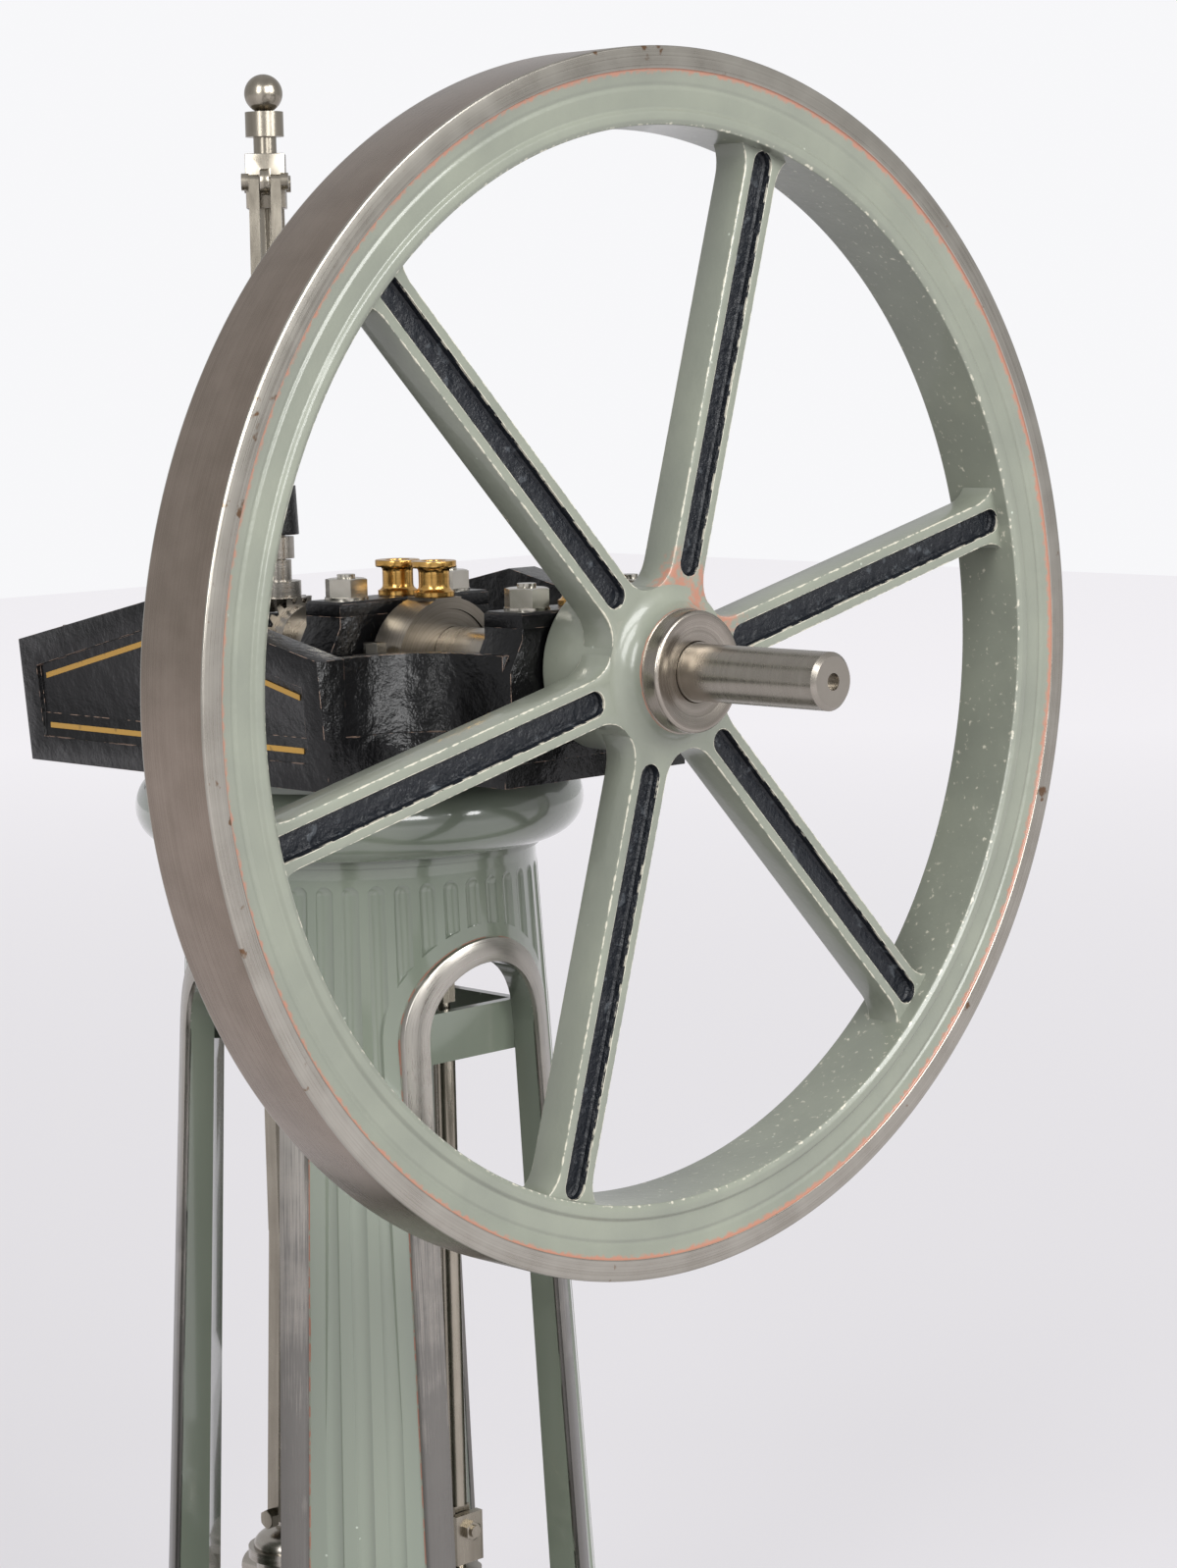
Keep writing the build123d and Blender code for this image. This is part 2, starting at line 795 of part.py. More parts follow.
# Governor drive: bevel gear on the shaft's stub, meshing with the one on the spindle
with BuildPart() as shaft_bevel_gear:
    with BuildSketch(shaft_plane.offset(shaft_gear_heel)):
        add(tooth_ring(shaft_gear_radius, shaft_gear_teeth, 1, -90))
    with BuildSketch(shaft_plane.offset(shaft_gear_toe)):
        add(tooth_ring(shaft_gear_radius, shaft_gear_teeth, toe_share, -90))
    loft(ruled=True)
    with BuildSketch(shaft_plane.offset(gear_seat)):
        Circle(shaft_gear_hub_radius)
    extrude(amount=gear_hub_length)
    with BuildSketch(shaft_plane.offset(gear_seat)):
        Circle(shaft_end_radius + running_fit)
    extrude(amount=gear_hub_length + gear_face, mode=Mode.SUBTRACT)
shaft_bevel_gear.part.label = "shaft_bevel_gear"

spindle_gear_heel = shaft_height + shaft_gear_radius
spindle_gear_toe = shaft_height + shaft_gear_radius * toe_share
with BuildPart() as spindle_bevel_gear:
    with BuildSketch(Plane.XY.offset(spindle_gear_toe)):
        with Locations((0, governor_place)):
            add(tooth_ring(spindle_gear_radius, spindle_gear_teeth, toe_share, -90 + 180 / spindle_gear_teeth))
    with BuildSketch(Plane.XY.offset(spindle_gear_heel)):
        with Locations((0, governor_place)):
            add(tooth_ring(spindle_gear_radius, spindle_gear_teeth, 1, -90 + 180 / spindle_gear_teeth))
    loft(ruled=True)
    with BuildSketch(Plane.XY.offset(spindle_gear_heel)):
        with Locations((0, governor_place)):
            Circle(spindle_gear_hub_radius)
    extrude(amount=gear_hub_length)
    with BuildSketch(Plane.XY.offset(spindle_gear_heel)):
        with Locations((0, governor_place)):
            Circle(gear_neck_radius)
    extrude(amount=shaft_height + gear_neck_top - spindle_gear_heel)
    with BuildSketch(Plane.XY.offset(spindle_gear_toe)):
        with Locations((0, governor_place)):
            Circle(spindle_radius + running_fit)
    extrude(amount=shaft_height + gear_neck_top - spindle_gear_toe, mode=Mode.SUBTRACT)
spindle_bevel_gear.part.label = "spindle_bevel_gear"

# Eccentric: sheave on the shaft, strap with ears, bolts and oil cup, rod down to the valve
eccentric_height = shaft_height - eccentric_drop
strap_centre = (-eccentric_offset_x, eccentric_height)
with BuildPart() as eccentric_sheave:
    with BuildSketch(Plane.XZ.offset(eccentric_place - sheave_width / 2)):
        with Locations(strap_centre):
            Circle(sheave_radius)
        with Locations((0, shaft_height)):
            Circle(shaft_radius + running_fit, mode=Mode.SUBTRACT)
    extrude(amount=sheave_width)
eccentric_sheave.part.label = "eccentric_sheave"

strap_foot_height = eccentric_height - strap_radius
with BuildPart() as eccentric_strap:
    with BuildSketch(Plane.XZ.offset(eccentric_place - strap_width / 2)):
        with Locations(strap_centre):
            Circle(strap_radius)
            Rectangle(2 * strap_ear_reach, 2 * strap_ear_half_height)
        with Locations((-eccentric_offset_x, eccentric_height + strap_radius / 2)):
            Rectangle(2 * cup_radius, strap_radius)
    extrude(amount=strap_width)
    with BuildSketch(Plane.XZ.offset(eccentric_place - strap_width / 2)):
        with Locations((0, strap_foot_height)):
            Rectangle(2 * strap_foot_half_width, strap_radius / 2)
    extrude(amount=strap_foot_depth)
    with BuildSketch(Plane.XZ.offset(eccentric_place - strap_width / 2)):
        with Locations(strap_centre):
            Circle(sheave_radius + running_fit)
    extrude(amount=strap_width, mode=Mode.SUBTRACT)
eccentric_strap.part.label = "eccentric_strap"

strap_nut = hex_nut(strap_nut_across_flats, strap_nut_height, strap_bolt_radius, 0)
strap_nut_seat = eccentric_height + strap_ear_half_height
with BuildPart() as strap_bolts:
    for side in (-1, 1):
        with Locations((side * strap_bolt_spread - eccentric_offset_x, -eccentric_place, strap_nut_seat)):
            add(strap_nut)
strap_bolts.part.label = "strap_bolts"

with BuildPart() as eccentric_oil_cup:
    with Locations((-eccentric_offset_x, -eccentric_place, eccentric_height + strap_radius)):
        add(brass_cup)
eccentric_oil_cup.part.label = "eccentric_oil_cup"

rod_top = strap_foot_height - strap_radius / 4
block_foot = shaft_height - eccentric_block_drop
neck_foot = block_foot - eccentric_neck_length
fork_top = valve_pin_height + eccentric_eye_radius
round_foot = fork_top + eccentric_fork_play
with BuildPart() as eccentric_rod:
    with BuildSketch(Plane.XY.offset(block_foot)):
        with Locations((0, -eccentric_rod_place)):
            Rectangle(eccentric_rod_width, eccentric_rod_depth)
    extrude(amount=rod_top - block_foot)
    with BuildSketch(Plane.XY.offset(neck_foot)):
        with Locations((0, -eccentric_rod_place)):
            Circle(eccentric_neck_radius)
    extrude(amount=eccentric_neck_length)
    with BuildSketch(Plane.XY.offset(round_foot)):
        with Locations((0, -eccentric_rod_place)):
            Circle(eccentric_round_radius)
    extrude(amount=neck_foot - round_foot)
    with BuildSketch(Plane.XY.offset(valve_pin_height)):
        with Locations((0, -eccentric_rod_place)):
            Rectangle(2 * eccentric_round_radius, eccentric_eye_width)
    extrude(amount=round_foot - valve_pin_height)
    with BuildSketch(Plane.XZ.offset(eccentric_rod_place - eccentric_eye_width / 2)):
        with Locations((0, valve_pin_height)):
            Circle(eccentric_eye_radius)
    extrude(amount=eccentric_eye_width)
eccentric_rod.part.label = "eccentric_rod"

# Valve spindle with the fork that takes the rod's eye, and its gland
fork_floor = valve_pin_height - eccentric_eye_radius - eccentric_fork_play
fork_bottom = fork_floor - fork_base
chest_top = fork_bottom - valve_gland_clearance - valve_gland_height
fork_nut = hex_nut(fork_nut_across_flats, fork_nut_height, fork_pin_radius, fork_pin_radius / 2)
with BuildPart() as valve_spindle:
    with BuildSketch(Plane.XY.offset(fork_bottom)):
        with Locations((0, -eccentric_rod_place)):
            Rectangle(2 * fork_half_width, 2 * fork_half_width)
    extrude(amount=fork_top - fork_bottom)
    with BuildSketch(Plane.XY.offset(fork_floor)):
        with Locations((0, -eccentric_rod_place)):
            Rectangle(4 * fork_half_width, fork_slot)
    extrude(amount=fork_top - fork_floor, mode=Mode.SUBTRACT)
    with BuildSketch(Plane.XY.offset(chest_top)):
        with Locations((0, -eccentric_rod_place)):
            Circle(valve_rod_radius)
    extrude(amount=fork_bottom - chest_top)
    for side in (-1, 1):
        cheek_face = -eccentric_rod_place + side * fork_half_width
        with Locations(Plane(origin=(0, cheek_face, valve_pin_height), z_dir=(0, side, 0))):
            add(fork_nut)
valve_spindle.part.label = "valve_spindle"

with BuildPart() as valve_gland:
    with BuildSketch(Plane.XY.offset(chest_top)):
        with Locations((0, -eccentric_rod_place)):
            Circle(valve_gland_radius)
    extrude(amount=valve_gland_height)
    with BuildSketch(Plane.XY.offset(chest_top)):
        with Locations((0, -eccentric_rod_place)):
            Circle(valve_rod_radius + running_fit)
    extrude(amount=valve_gland_height, mode=Mode.SUBTRACT)
valve_gland.part.label = "valve_gland"

# Connecting rod from the crank pin to the crosshead, which stands clear of the cylinder's gland
cylinder_top = chest_top + cylinder_rise
cover_top = cylinder_top + cylinder_cover_height
crosshead_bottom = cover_top + gland_height + crosshead_clearance
crosshead_floor = crosshead_bottom + crosshead_base
small_end_height = crosshead_floor + rest_gap + rod_small_end_radius
with BuildPart() as connecting_rod:
    with BuildSketch(Plane.XZ.offset(-crank_pin_length / 2 + rest_gap)):
        with Locations((0, crank_pin_height)):
            Circle(rod_big_end_radius)
    extrude(amount=crank_pin_length - 2 * rest_gap)
    with BuildSketch(Plane.XZ.offset(-rod_eye_width / 2)):
        with Locations((0, small_end_height)):
            Circle(rod_small_end_radius)
    extrude(amount=rod_eye_width)
    with BuildSketch(Plane.XY.offset(small_end_height)):
        Rectangle(2 * rod_shank_half_width, rod_eye_width)
    with BuildSketch(Plane.XY.offset(crank_pin_height)):
        Rectangle(2 * rod_shank_half_width, 2 * rod_shank_half_depth)
    loft()
    with BuildSketch(Plane.XZ.offset(-crank_pin_length / 2)):
        with Locations((0, crank_pin_height)):
            Circle(crank_pin_radius + running_fit)
    extrude(amount=crank_pin_length, mode=Mode.SUBTRACT)
connecting_rod.part.label = "connecting_rod"

# Crosshead: forked block with slippers, and the piston rod below it
cheek_inside = rod_eye_width / 2 + rest_gap
cheek_outside = cheek_inside + crosshead_cheek
crosshead_nut = hex_nut(crosshead_nut_across_flats, crosshead_nut_height, crosshead_pin_radius, 0)
with BuildPart() as crosshead:
    with BuildSketch(Plane.XY.offset(crosshead_bottom)):
        Rectangle(2 * crosshead_half_width, 2 * cheek_outside)
    extrude(amount=crosshead_base)
    for side in (-1, 1):
        with BuildSketch(Plane.XY.offset(crosshead_floor)):
            with Locations((0, side * (cheek_inside + cheek_outside) / 2)):
                Rectangle(2 * rod_small_end_radius, crosshead_cheek)
        extrude(amount=2 * rod_small_end_radius)
        with Locations(Plane(origin=(0, side * cheek_outside, small_end_height), z_dir=(0, side, 0))):
            add(crosshead_nut)
crosshead.part.label = "crosshead"

with BuildPart() as piston_rod:
    with BuildSketch(Plane.XY.offset(cylinder_top)):
        Circle(piston_rod_radius)
    extrude(amount=crosshead_bottom - cylinder_top)
piston_rod.part.label = "piston_rod"

# Guide frame between the legs at the arches' springing, and the slide bars under it
guide_top = shaft_height - guide_top_drop
guide_bottom = guide_top - guide_height
with BuildPart() as guide_frame:
    with BuildSketch(Plane.XY.offset(guide_bottom)):
        Rectangle(2 * guide_half_width, 2 * guide_reach)
        Rectangle(2 * (guide_half_width - guide_wall), 2 * (guide_reach - guide_wall), mode=Mode.SUBTRACT)
    extrude(amount=guide_height)
    with BuildSketch(Plane.XZ):
        with BuildLine():
            Polyline(
                (0, base_thickness),
                (column_foot_bore, base_thickness),
                (column_bore, column_neck_height),
                (0, column_neck_height),
                close=True,
            )
        make_face()
    revolve(axis=Axis.Z, mode=Mode.INTERSECT)
guide_frame.part.label = "guide_frame"

# Two pairs of slide bars, with a gap between each pair for the rod's eye to swing in
bar_spread = (slide_bar_gap + slide_bar_width) / 2
with BuildPart() as slide_bars:
    with BuildSketch(Plane.XY.offset(cover_top)):
        with GridLocations(2 * guide_half_width - slide_bar_thickness, 2 * bar_spread, 2, 2):
            Rectangle(slide_bar_thickness, slide_bar_width)
    extrude(amount=guide_bottom - cover_top)
slide_bars.part.label = "slide_bars"

# Cylinder on the base plate, its cover with studs, and the piston gland
with BuildPart() as cylinder:
    with BuildSketch(Plane.XY.offset(base_thickness)):
        Circle(cylinder_radius)
    extrude(amount=cylinder_top - base_thickness)
    with BuildSketch(Plane.XY.offset(base_thickness)):
        Circle(cylinder_flange_radius)
    extrude(amount=cylinder_flange_height)
    with BuildSketch(Plane.XY.offset(cylinder_top - cylinder_flange_height)):
        Circle(cylinder_flange_radius)
    extrude(amount=cylinder_flange_height)
cylinder.part.label = "cylinder"

with BuildPart() as cylinder_cover:
    with BuildSketch(Plane.XY.offset(cylinder_top)):
        Circle(cylinder_flange_radius)
    extrude(amount=cylinder_cover_height)
    with BuildSketch(Plane.XY.offset(cover_top)):
        Circle(gland_radius)
    extrude(amount=gland_height)
    with BuildSketch(Plane.XY.offset(cylinder_top)):
        Circle(piston_rod_radius + running_fit)
    extrude(amount=cylinder_cover_height + gland_height, mode=Mode.SUBTRACT)
cylinder_cover.part.label = "cylinder_cover"

cover_nut = hex_nut(cover_nut_across_flats, cover_nut_height, cover_stud_radius, cover_stud_radius)
with BuildPart() as cover_nuts:
    with Locations((0, 0, cover_top)):
        with PolarLocations(cover_stud_circle, cover_stud_count):
            add(cover_nut)
cover_nuts.part.label = "cover_nuts"

with BuildPart() as steam_chest:
    with BuildSketch(Plane.XY.offset(chest_top - chest_height)):
        with Locations((0, -chest_reach / 2)):
            Rectangle(2 * chest_half_width, chest_reach)
        Circle(cylinder_radius, mode=Mode.SUBTRACT)
    extrude(amount=chest_height)
steam_chest.part.label = "steam_chest"

# Throttle valve behind the cylinder: flanged body, domed bonnet with a lug, pipes in and out
throttle_top = cylinder_top - throttle_drop
throttle_bottom = throttle_top - throttle_body_height
throttle_pipe_height = throttle_top - throttle_flange_height - throttle_pipe_drop
throttle_dome_top = throttle_top + throttle_dome_rise
throttle_eye_height = throttle_dome_top + throttle_eye_rise
throttle_axis = Axis((0, throttle_place, 0), (0, 0, 1))
with BuildPart() as throttle_valve:
    with BuildSketch(Plane.XZ.offset(-throttle_place)):
        with BuildLine():
            Line((0, throttle_top), (throttle_dome_radius, throttle_top))
            EllipticalCenterArc((0, throttle_top), throttle_dome_radius, throttle_dome_rise, 0, arc_size=90)
            Line((0, throttle_dome_top), (0, throttle_top))
        make_face()
    revolve(axis=throttle_axis)
    with BuildSketch(Plane.XY.offset(throttle_bottom)):
        with Locations((0, throttle_place)):
            Circle(throttle_body_radius)
    extrude(amount=throttle_body_height)
    with BuildSketch(Plane.XY.offset(throttle_top - throttle_flange_height)):
        with Locations((0, throttle_place)):
            Circle(throttle_flange_radius)
    extrude(amount=throttle_flange_height)
    with BuildSketch(Plane.YZ.offset(-throttle_lug_width / 2)):
        with Locations((throttle_place, throttle_eye_height)):
            Circle(throttle_eye_radius)
        with Locations((throttle_place, (throttle_top + throttle_eye_height) / 2)):
            Rectangle(2 * throttle_eye_radius, throttle_eye_height - throttle_top)
    extrude(amount=throttle_lug_width)
    with BuildSketch(Plane.YZ.offset(-throttle_lug_width / 2)):
        with Locations((throttle_place, throttle_eye_height)):
            Circle(throttle_pin_radius + running_fit)
    extrude(amount=throttle_lug_width, mode=Mode.SUBTRACT)
    with BuildSketch(Plane.XZ.offset(-throttle_place)):
        with Locations((0, throttle_pipe_height)):
            Circle(throttle_pipe_radius)
    extrude(amount=throttle_place - cylinder_radius)
    with BuildSketch(Plane.XZ.offset(-throttle_place - throttle_inlet_length)):
        with Locations((0, throttle_pipe_height)):
            Circle(throttle_pipe_radius)
    extrude(amount=throttle_inlet_length)
    with BuildSketch(Plane.XZ.offset(-throttle_place - throttle_inlet_length)):
        with Locations((0, throttle_pipe_height)):
            Circle(throttle_pipe_bore)
    extrude(amount=throttle_inlet_length, mode=Mode.SUBTRACT)
throttle_valve.part.label = "throttle_valve"

# Throttle rod: flat bar that divides into two legs over the lug, with a pin and nuts
leg_spread = throttle_lug_width / 2 + throttle_lug_play + throttle_leg_thickness / 2
leg_outside = leg_spread + throttle_leg_thickness / 2
leg_fork_height = throttle_eye_height + throttle_leg_length
leg_lean = math.degrees(math.atan2(leg_spread, throttle_leg_length))
throttle_nut = hex_nut(throttle_nut_across_flats, throttle_nut_height, throttle_pin_radius, 0)
with BuildPart() as throttle_rod:
    with BuildSketch(Plane.XY.offset(leg_fork_height)):
        with Locations((0, throttle_place)):
            Rectangle(throttle_rod_thickness, throttle_rod_width)
    extrude(amount=guide_top - leg_fork_height)
    for side in (-1, 1):
        with BuildSketch(Plane.XZ.offset(-throttle_place - throttle_rod_width / 2)):
            with Locations((side * leg_spread / 2, (throttle_eye_height + leg_fork_height) / 2)):
                SlotCenterToCenter(throttle_leg_length, throttle_leg_thickness, rotation=90 + side * leg_lean)
        extrude(amount=throttle_rod_width)
        with Locations(Plane(origin=(side * leg_outside, throttle_place, throttle_eye_height), z_dir=(side, 0, 0))):
            add(throttle_nut)
    with BuildSketch(Plane.YZ.offset(-leg_outside)):
        with Locations((throttle_place, throttle_eye_height)):
            Circle(throttle_pin_radius)
    extrude(amount=2 * leg_outside)
throttle_rod.part.label = "throttle_rod"

# Governor: spindle with finial, head with lugs, arms, balls, links, sliding collar and knurled collar
spindle_bottom = spindle_gear_toe + rest_gap
head_floor = shaft_height + head_bottom
head_ceiling = shaft_height + head_top
pivot_height = shaft_height + arm_pivot_rise
ball_height = shaft_height + ball_rise
knuckle_height = shaft_height + knuckle_rise
turn_cosine = math.cos(math.radians(governor_turn))
turn_sine = math.sin(math.radians(governor_turn))
governor_axis = Axis((0, governor_place, 0), (0, 0, 1))
swing_plane = Plane(
    origin=(0, governor_place, 0),
    x_dir=(turn_cosine, turn_sine, 0),
    z_dir=(turn_sine, -turn_cosine, 0),
)
arm_length = math.hypot(ball_spread - arm_pivot_spread, arm_pivot_rise - ball_rise)
arm_lean = math.degrees(math.atan2(ball_spread - arm_pivot_spread, arm_pivot_rise - ball_rise))
arm_inside = lug_thickness / 2 + lug_play
arm_outside = arm_inside + arm_thickness
link_inside = lug_thickness / 2 + lug_play
link_outside = link_inside + link_thickness
link_lean = math.degrees(math.atan2(ball_spread - knuckle_spread, ball_rise - knuckle_rise))
link_reach = math.hypot(ball_spread - knuckle_spread, ball_rise - knuckle_rise)
link_length = link_reach - ball_radius - running_fit - link_width / 2
link_middle_spread = knuckle_spread + math.sin(math.radians(link_lean)) * link_length / 2
link_middle_height = knuckle_height + math.cos(math.radians(link_lean)) * link_length / 2
with BuildPart() as governor_spindle:
    with BuildSketch(Plane.XZ.offset(-governor_place)):
        with BuildLine():
            Polyline(
                (0, spindle_bottom),
                (spindle_radius, spindle_bottom),
                (spindle_radius, head_ceiling),
                (finial_neck_radius, head_ceiling),
                (finial_neck_radius, shaft_height + finial_neck_top),
                (finial_collar_radius, shaft_height + finial_neck_top),
                (finial_collar_radius, shaft_height + finial_collar_top),
                (0, shaft_height + finial_collar_top),
                close=True,
            )
        make_face()
    revolve(axis=governor_axis)
    with Locations((0, governor_place, shaft_height + finial_top - finial_ball_radius)):
        Sphere(finial_ball_radius)
governor_spindle.part.label = "governor_spindle"

with BuildPart() as governor_head:
    with BuildSketch(Plane(origin=(0, governor_place, head_floor), x_dir=(turn_cosine, turn_sine, 0))):
        Rectangle(2 * head_half_width, 2 * head_half_width)
    extrude(amount=head_top - head_bottom)
    with BuildSketch(swing_plane.offset(-lug_thickness / 2)):
        with Locations((0, pivot_height)):
            SlotCenterToCenter(2 * arm_pivot_spread, 2 * lug_radius)
        with Locations((-arm_pivot_spread, pivot_height), (arm_pivot_spread, pivot_height)):
            Circle(arm_pin_radius + running_fit, mode=Mode.SUBTRACT)
    extrude(amount=lug_thickness)
    with BuildSketch(Plane.XY.offset(head_floor)):
        with Locations((0, governor_place)):
            Circle(spindle_radius + running_fit)
    extrude(amount=head_top - head_bottom, mode=Mode.SUBTRACT)
governor_head.part.label = "governor_head"

with BuildPart() as governor_arms:
    for layer in (-arm_outside, arm_inside):
        with BuildSketch(swing_plane.offset(layer)):
            for side in (-1, 1):
                with Locations((side * (arm_pivot_spread + ball_spread) / 2, (pivot_height + ball_height) / 2)):
                    SlotCenterToCenter(arm_length, arm_width, rotation=90 + side * arm_lean)
        extrude(amount=arm_thickness)
    with BuildSketch(swing_plane.offset(-arm_outside)):
        with Locations((-arm_pivot_spread, pivot_height), (arm_pivot_spread, pivot_height)):
            Circle(arm_pin_radius)
    extrude(amount=2 * arm_outside)
    for layer in (-arm_outside - pin_head_height, arm_outside):
        with BuildSketch(swing_plane.offset(layer)):
            with Locations((-arm_pivot_spread, pivot_height), (arm_pivot_spread, pivot_height)):
                Circle(pin_head_radius)
        extrude(amount=pin_head_height)
    for side in (-1, 1):
        ball_x = side * ball_spread * turn_cosine
        ball_y = governor_place + side * ball_spread * turn_sine
        with Locations(Plane(origin=(ball_x, ball_y, ball_height), x_dir=(0, 0, -1), z_dir=swing_plane.z_dir)):
            Sphere(ball_radius)
governor_arms.part.label = "governor_arms"

with BuildPart() as governor_collar:
    with BuildSketch(Plane.XY.offset(shaft_height + collar_bottom)):
        with Locations((0, governor_place)):
            Circle(collar_radius)
    extrude(amount=collar_top - collar_bottom)
    with BuildSketch(swing_plane.offset(-lug_thickness / 2)):
        with Locations((0, knuckle_height)):
            SlotCenterToCenter(2 * knuckle_spread, 2 * knuckle_radius)
        with Locations((-knuckle_spread, knuckle_height), (knuckle_spread, knuckle_height)):
            Circle(link_pin_radius + running_fit, mode=Mode.SUBTRACT)
    extrude(amount=lug_thickness)
    with BuildSketch(Plane.XY.offset(shaft_height + collar_bottom)):
        with Locations((0, governor_place)):
            Circle(spindle_radius + running_fit)
    extrude(amount=knuckle_rise + knuckle_radius - collar_bottom, mode=Mode.SUBTRACT)
governor_collar.part.label = "governor_collar"

with BuildPart() as governor_links:
    for layer in (-link_outside, link_inside):
        with BuildSketch(swing_plane.offset(layer)):
            for side in (-1, 1):
                with Locations((side * link_middle_spread, link_middle_height)):
                    SlotCenterToCenter(link_length, link_width, rotation=90 - side * link_lean)
        extrude(amount=link_thickness)
    with BuildSketch(swing_plane.offset(-link_outside)):
        with Locations((-knuckle_spread, knuckle_height), (knuckle_spread, knuckle_height)):
            Circle(link_pin_radius)
    extrude(amount=2 * link_outside)
governor_links.part.label = "governor_links"

with BuildPart() as knurled_collar:
    with BuildSketch(Plane.XY.offset(shaft_height + knurl_bottom)):
        with Locations((0, governor_place)):
            Circle(knurl_radius)
            Circle(spindle_radius + running_fit, mode=Mode.SUBTRACT)
    extrude(amount=knurl_top - knurl_bottom)
knurled_collar.part.label = "knurled_collar"

# Bracket that carries the governor spindle from the far wall of the entablature
boss_floor = shaft_height + boss_bottom
with BuildPart() as governor_bracket:
    with BuildSketch(Plane.XY.offset(boss_floor)):
        with Locations((0, governor_place)):
            Circle(governor_boss_radius)
    with BuildSketch(Plane.XY.offset(shaft_height + boss_top)):
        with Locations((0, governor_place)):
            Circle(governor_boss_top_radius)
    loft()
    with BuildSketch(Plane.XY.offset(boss_floor)):
        with Locations((0, (governor_place + bracket_post_place) / 2)):
            Rectangle(2 * bracket_arm_half_width, bracket_post_place - governor_place)
    extrude(amount=bracket_arm_depth)
    with BuildSketch(Plane.XY.offset(floor_top)):
        with Locations((0, bracket_post_place)):
            Circle(bracket_post_radius)
    extrude(amount=boss_floor + bracket_arm_depth - floor_top)
    with BuildSketch(Plane.XY.offset(floor_top)):
        with Locations((0, bracket_post_place)):
            Circle(bracket_foot_radius)
    extrude(amount=bracket_foot_height)
    with BuildSketch(Plane.XY.offset(boss_floor)):
        with Locations((0, governor_place)):
            Circle(spindle_radius + running_fit)
    extrude(amount=boss_top - boss_bottom, mode=Mode.SUBTRACT)
governor_bracket.part.label = "governor_bracket"

export_step(base_plate.part, "parts/base_plate.step")
export_step(column.part, "parts/column.step")
export_step(arch_bands.part, "parts/arch_bands.step")
export_step(entablature.part, "parts/entablature.step")
export_step(bearing_bushes.part, "parts/bearing_bushes.step")
export_step(near_bearing_cap, "parts/near_bearing_cap.step")
export_step(middle_bearing_cap, "parts/middle_bearing_cap.step")
export_step(cap_nuts.part, "parts/cap_nuts.step")
export_step(bearing_oil_cups.part, "parts/bearing_oil_cups.step")
export_step(flywheel.part, "parts/flywheel.step")
export_step(crankshaft.part, "parts/crankshaft.step")
export_step(shaft_bevel_gear.part, "parts/shaft_bevel_gear.step")
export_step(spindle_bevel_gear.part, "parts/spindle_bevel_gear.step")
export_step(eccentric_sheave.part, "parts/eccentric_sheave.step")
export_step(eccentric_strap.part, "parts/eccentric_strap.step")
export_step(strap_bolts.part, "parts/strap_bolts.step")
export_step(eccentric_oil_cup.part, "parts/eccentric_oil_cup.step")
export_step(eccentric_rod.part, "parts/eccentric_rod.step")
export_step(valve_spindle.part, "parts/valve_spindle.step")
export_step(valve_gland.part, "parts/valve_gland.step")
export_step(connecting_rod.part, "parts/connecting_rod.step")
export_step(crosshead.part, "parts/crosshead.step")
export_step(piston_rod.part, "parts/piston_rod.step")
export_step(guide_frame.part, "parts/guide_frame.step")
export_step(slide_bars.part, "parts/slide_bars.step")
export_step(cylinder.part, "parts/cylinder.step")
export_step(cylinder_cover.part, "parts/cylinder_cover.step")
export_step(cover_nuts.part, "parts/cover_nuts.step")
export_step(steam_chest.part, "parts/steam_chest.step")
export_step(throttle_valve.part, "parts/throttle_valve.step")
export_step(throttle_rod.part, "parts/throttle_rod.step")
export_step(governor_spindle.part, "parts/governor_spindle.step")
export_step(governor_head.part, "parts/governor_head.step")
export_step(governor_arms.part, "parts/governor_arms.step")
export_step(governor_collar.part, "parts/governor_collar.step")
export_step(governor_links.part, "parts/governor_links.step")
export_step(knurled_collar.part, "parts/knurled_collar.step")
export_step(governor_bracket.part, "parts/governor_bracket.step")
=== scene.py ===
import bmesh
import bpy
import numpy as np
from mathutils import Matrix, Vector


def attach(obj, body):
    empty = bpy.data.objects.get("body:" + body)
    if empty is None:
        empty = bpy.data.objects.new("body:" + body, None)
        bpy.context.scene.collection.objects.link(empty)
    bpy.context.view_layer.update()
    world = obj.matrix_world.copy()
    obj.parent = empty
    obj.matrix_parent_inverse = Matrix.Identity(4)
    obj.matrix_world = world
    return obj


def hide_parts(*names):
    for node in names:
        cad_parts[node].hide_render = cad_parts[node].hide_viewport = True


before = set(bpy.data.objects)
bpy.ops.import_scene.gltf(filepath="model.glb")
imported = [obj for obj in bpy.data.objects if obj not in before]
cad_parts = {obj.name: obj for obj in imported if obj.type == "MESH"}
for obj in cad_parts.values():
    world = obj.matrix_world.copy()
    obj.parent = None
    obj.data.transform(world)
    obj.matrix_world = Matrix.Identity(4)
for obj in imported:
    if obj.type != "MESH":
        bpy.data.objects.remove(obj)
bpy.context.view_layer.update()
scene = bpy.context.scene
scene.view_settings.view_transform = "Standard"
mm = 0.001
shaftHeight = 242.0   # mm above the ground
wheelAxis = (0.0, shaftHeight)   # x and z of the crankshaft

# camera: place in mm, yaw in degrees from +Y towards +X, pitch below level, lens and sensor in mm, near and far in m
view = {"place": (-420.2, -485.6, 297.6), "yaw": 44.60, "pitch": 7.254, "roll": -1.235,
        "lens": 81.12, "sensor": 36.0, "near": 0.01, "far": 20}


